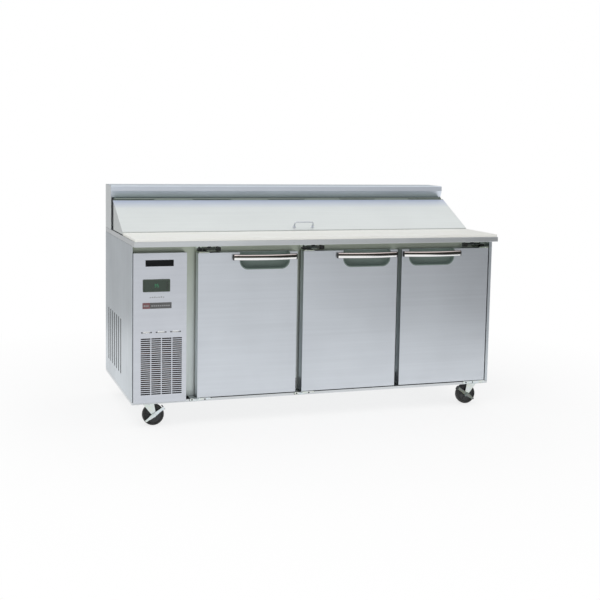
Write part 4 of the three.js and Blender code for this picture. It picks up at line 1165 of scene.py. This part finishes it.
def curve(points, per_span):
    """A smooth run of points through the given ones."""
    p = [Vector(q) for q in points]
    p = [p[0] * 2 - p[1], *p, p[-1] * 2 - p[-2]]
    out = []
    for a, b, c, d in zip(p, p[1:], p[2:], p[3:]):
        for i in range(per_span):
            t = i / per_span
            out.append(tuple(0.5 * ((2 * b) + (c - a) * t + (2 * a - 5 * b + 4 * c - d) * t * t
                                    + (3 * b - a - 3 * c + d) * t * t * t)))
    out.append(tuple(p[-2]))
    return out


for number in (1, 2, 3):
    make_pan(number)
    make_shelf(number)
make_evaporator()
make_condenser()
make_fan()
make_compressor()

# ---- fixings and seams


def make_fixings():
    """Two rows of screws that hold the back."""
    x0, x1, _, y1, z0, z1 = local_box("back_panel")
    head = [(4.6, -0.6), (4.6, -0.2), (3.6, 0.55), (1.8, 0.9), (0.2, 0.95)]
    back = Build()
    for x in spread(x0 + 30, x1 - 30, 7):
        for z in (z0 + 22, z1 - 22):
            back.lathe("Y", (x, y1 - 1.0, z), head, 20)
    back.finish("back_screws", CABINET, "zinc", "zinc_plate")


make_fixings()

# ---- floor and light


FLOOR_RADIUS = 2.6
FLOOR_FADE = (1.25, 2.45)
FLOOR_GLOW = 0.75
CEILING, HORIZON, REAR, BACKDROP = 0.95, 0.34, 0.60, 1.0


def make_floor():
    """A round pale floor that brightens into the plain white backdrop."""
    bpy.ops.mesh.primitive_circle_add(vertices=128, radius=FLOOR_RADIUS, fill_type="NGON",
                                      location=(0, 0, 0))
    floor = bpy.context.object
    floor.name = "studio_floor"
    s = Surface("studio_floor_white", (0.26, 0.26, 0.26), 0.8, Specular_IOR_Level=0.0)
    s.shader.inputs["Emission Color"].default_value = (1.0, 1.0, 1.0, 1.0)
    distance = s.node("ShaderNodeVectorMath", {0: s.place}, operation="LENGTH").outputs["Value"]
    s.put(s.shader.inputs["Emission Strength"], s.ramp(distance, *FLOOR_FADE, FLOOR_GLOW, 1.0))
    soft = s.tint(s.noise(0.6), 0.99, 1.01)
    tone = s.mix(s.ramp(distance, *FLOOR_FADE), soft, (0.0, 0.0, 0.0))
    floor.data.materials.append(s.wear(tone))


def make_world():
    """Studio surroundings: a bright ceiling, a darker room round the horizon, and
    a white foreground that falls off to the right. The camera sees plain white."""
    world = bpy.data.worlds.new("studio")
    bpy.context.scene.world = world
    world.use_nodes = True
    w = Nodes(world.node_tree)
    facing = w.axes(w.node("ShaderNodeTexCoord").outputs["Generated"])

    def step(axis, *limits):
        return w.ramp(facing[axis], *limits, interpolation_type="SMOOTHSTEP")

    foreground = w.blend(step("Y", -0.3, 0.3), step("X", 0.16, 0.62, 1.0, 0.10), REAR)
    horizon = w.blend(step("Z", -0.03, 0.07), foreground, HORIZON)
    room = w.blend(step("Z", 0.38, 0.64), horizon, CEILING)
    seen = w.node("ShaderNodeLightPath").outputs["Is Camera Ray"]
    background = w.tree.nodes["Background"]
    w.put(background.inputs["Strength"], w.blend(seen, room, BACKDROP))
    w.put(background.inputs["Color"], (1.0, 1.0, 1.0))


def make_light(name, location, target, size, power):
    data = bpy.data.lights.new(name, "AREA")
    data.shape = "RECTANGLE"
    data.size, data.size_y = size
    data.energy = power
    light = add_object(name, data)
    light.location = location
    aim = Vector(target) - Vector(location)
    light.rotation_euler = aim.to_track_quat("-Z", "Y").to_euler()


YAW, PITCH, ROLL = 0.3316, 0.1049, 0.0180
EYE = (-1.7410, -5.0829, 1.3337)
FOCAL, SHIFT = 64.57, -1 / 12


def make_camera():
    """At the photograph's viewing angle: yaw, downward pitch and a slight roll."""
    level = math.cos(PITCH)
    forward = Vector((math.sin(YAW) * level, math.cos(YAW) * level, -math.sin(PITCH)))
    right = Vector((math.cos(YAW), -math.sin(YAW), 0))
    up = right.cross(forward)
    rolled_right = right * math.cos(ROLL) + up * math.sin(ROLL)
    rolled_up = up * math.cos(ROLL) - right * math.sin(ROLL)
    data = bpy.data.cameras.new("camera")
    data.sensor_width = 36.0
    data.lens = FOCAL
    data.shift_y = SHIFT
    data.clip_end = 100
    camera = add_object("camera", data)
    basis = Matrix((rolled_right, rolled_up, -forward)).transposed().to_4x4()
    camera.matrix_world = Matrix.Translation(EYE) @ basis
    bpy.context.scene.camera = camera


make_floor()
make_world()
make_light("key", (-2.2, -2.6, 3.6), (-0.2, 0, 0.6), (2.6, 2.0), 26)
make_camera()
bpy.context.scene.view_settings.view_transform = "Standard"
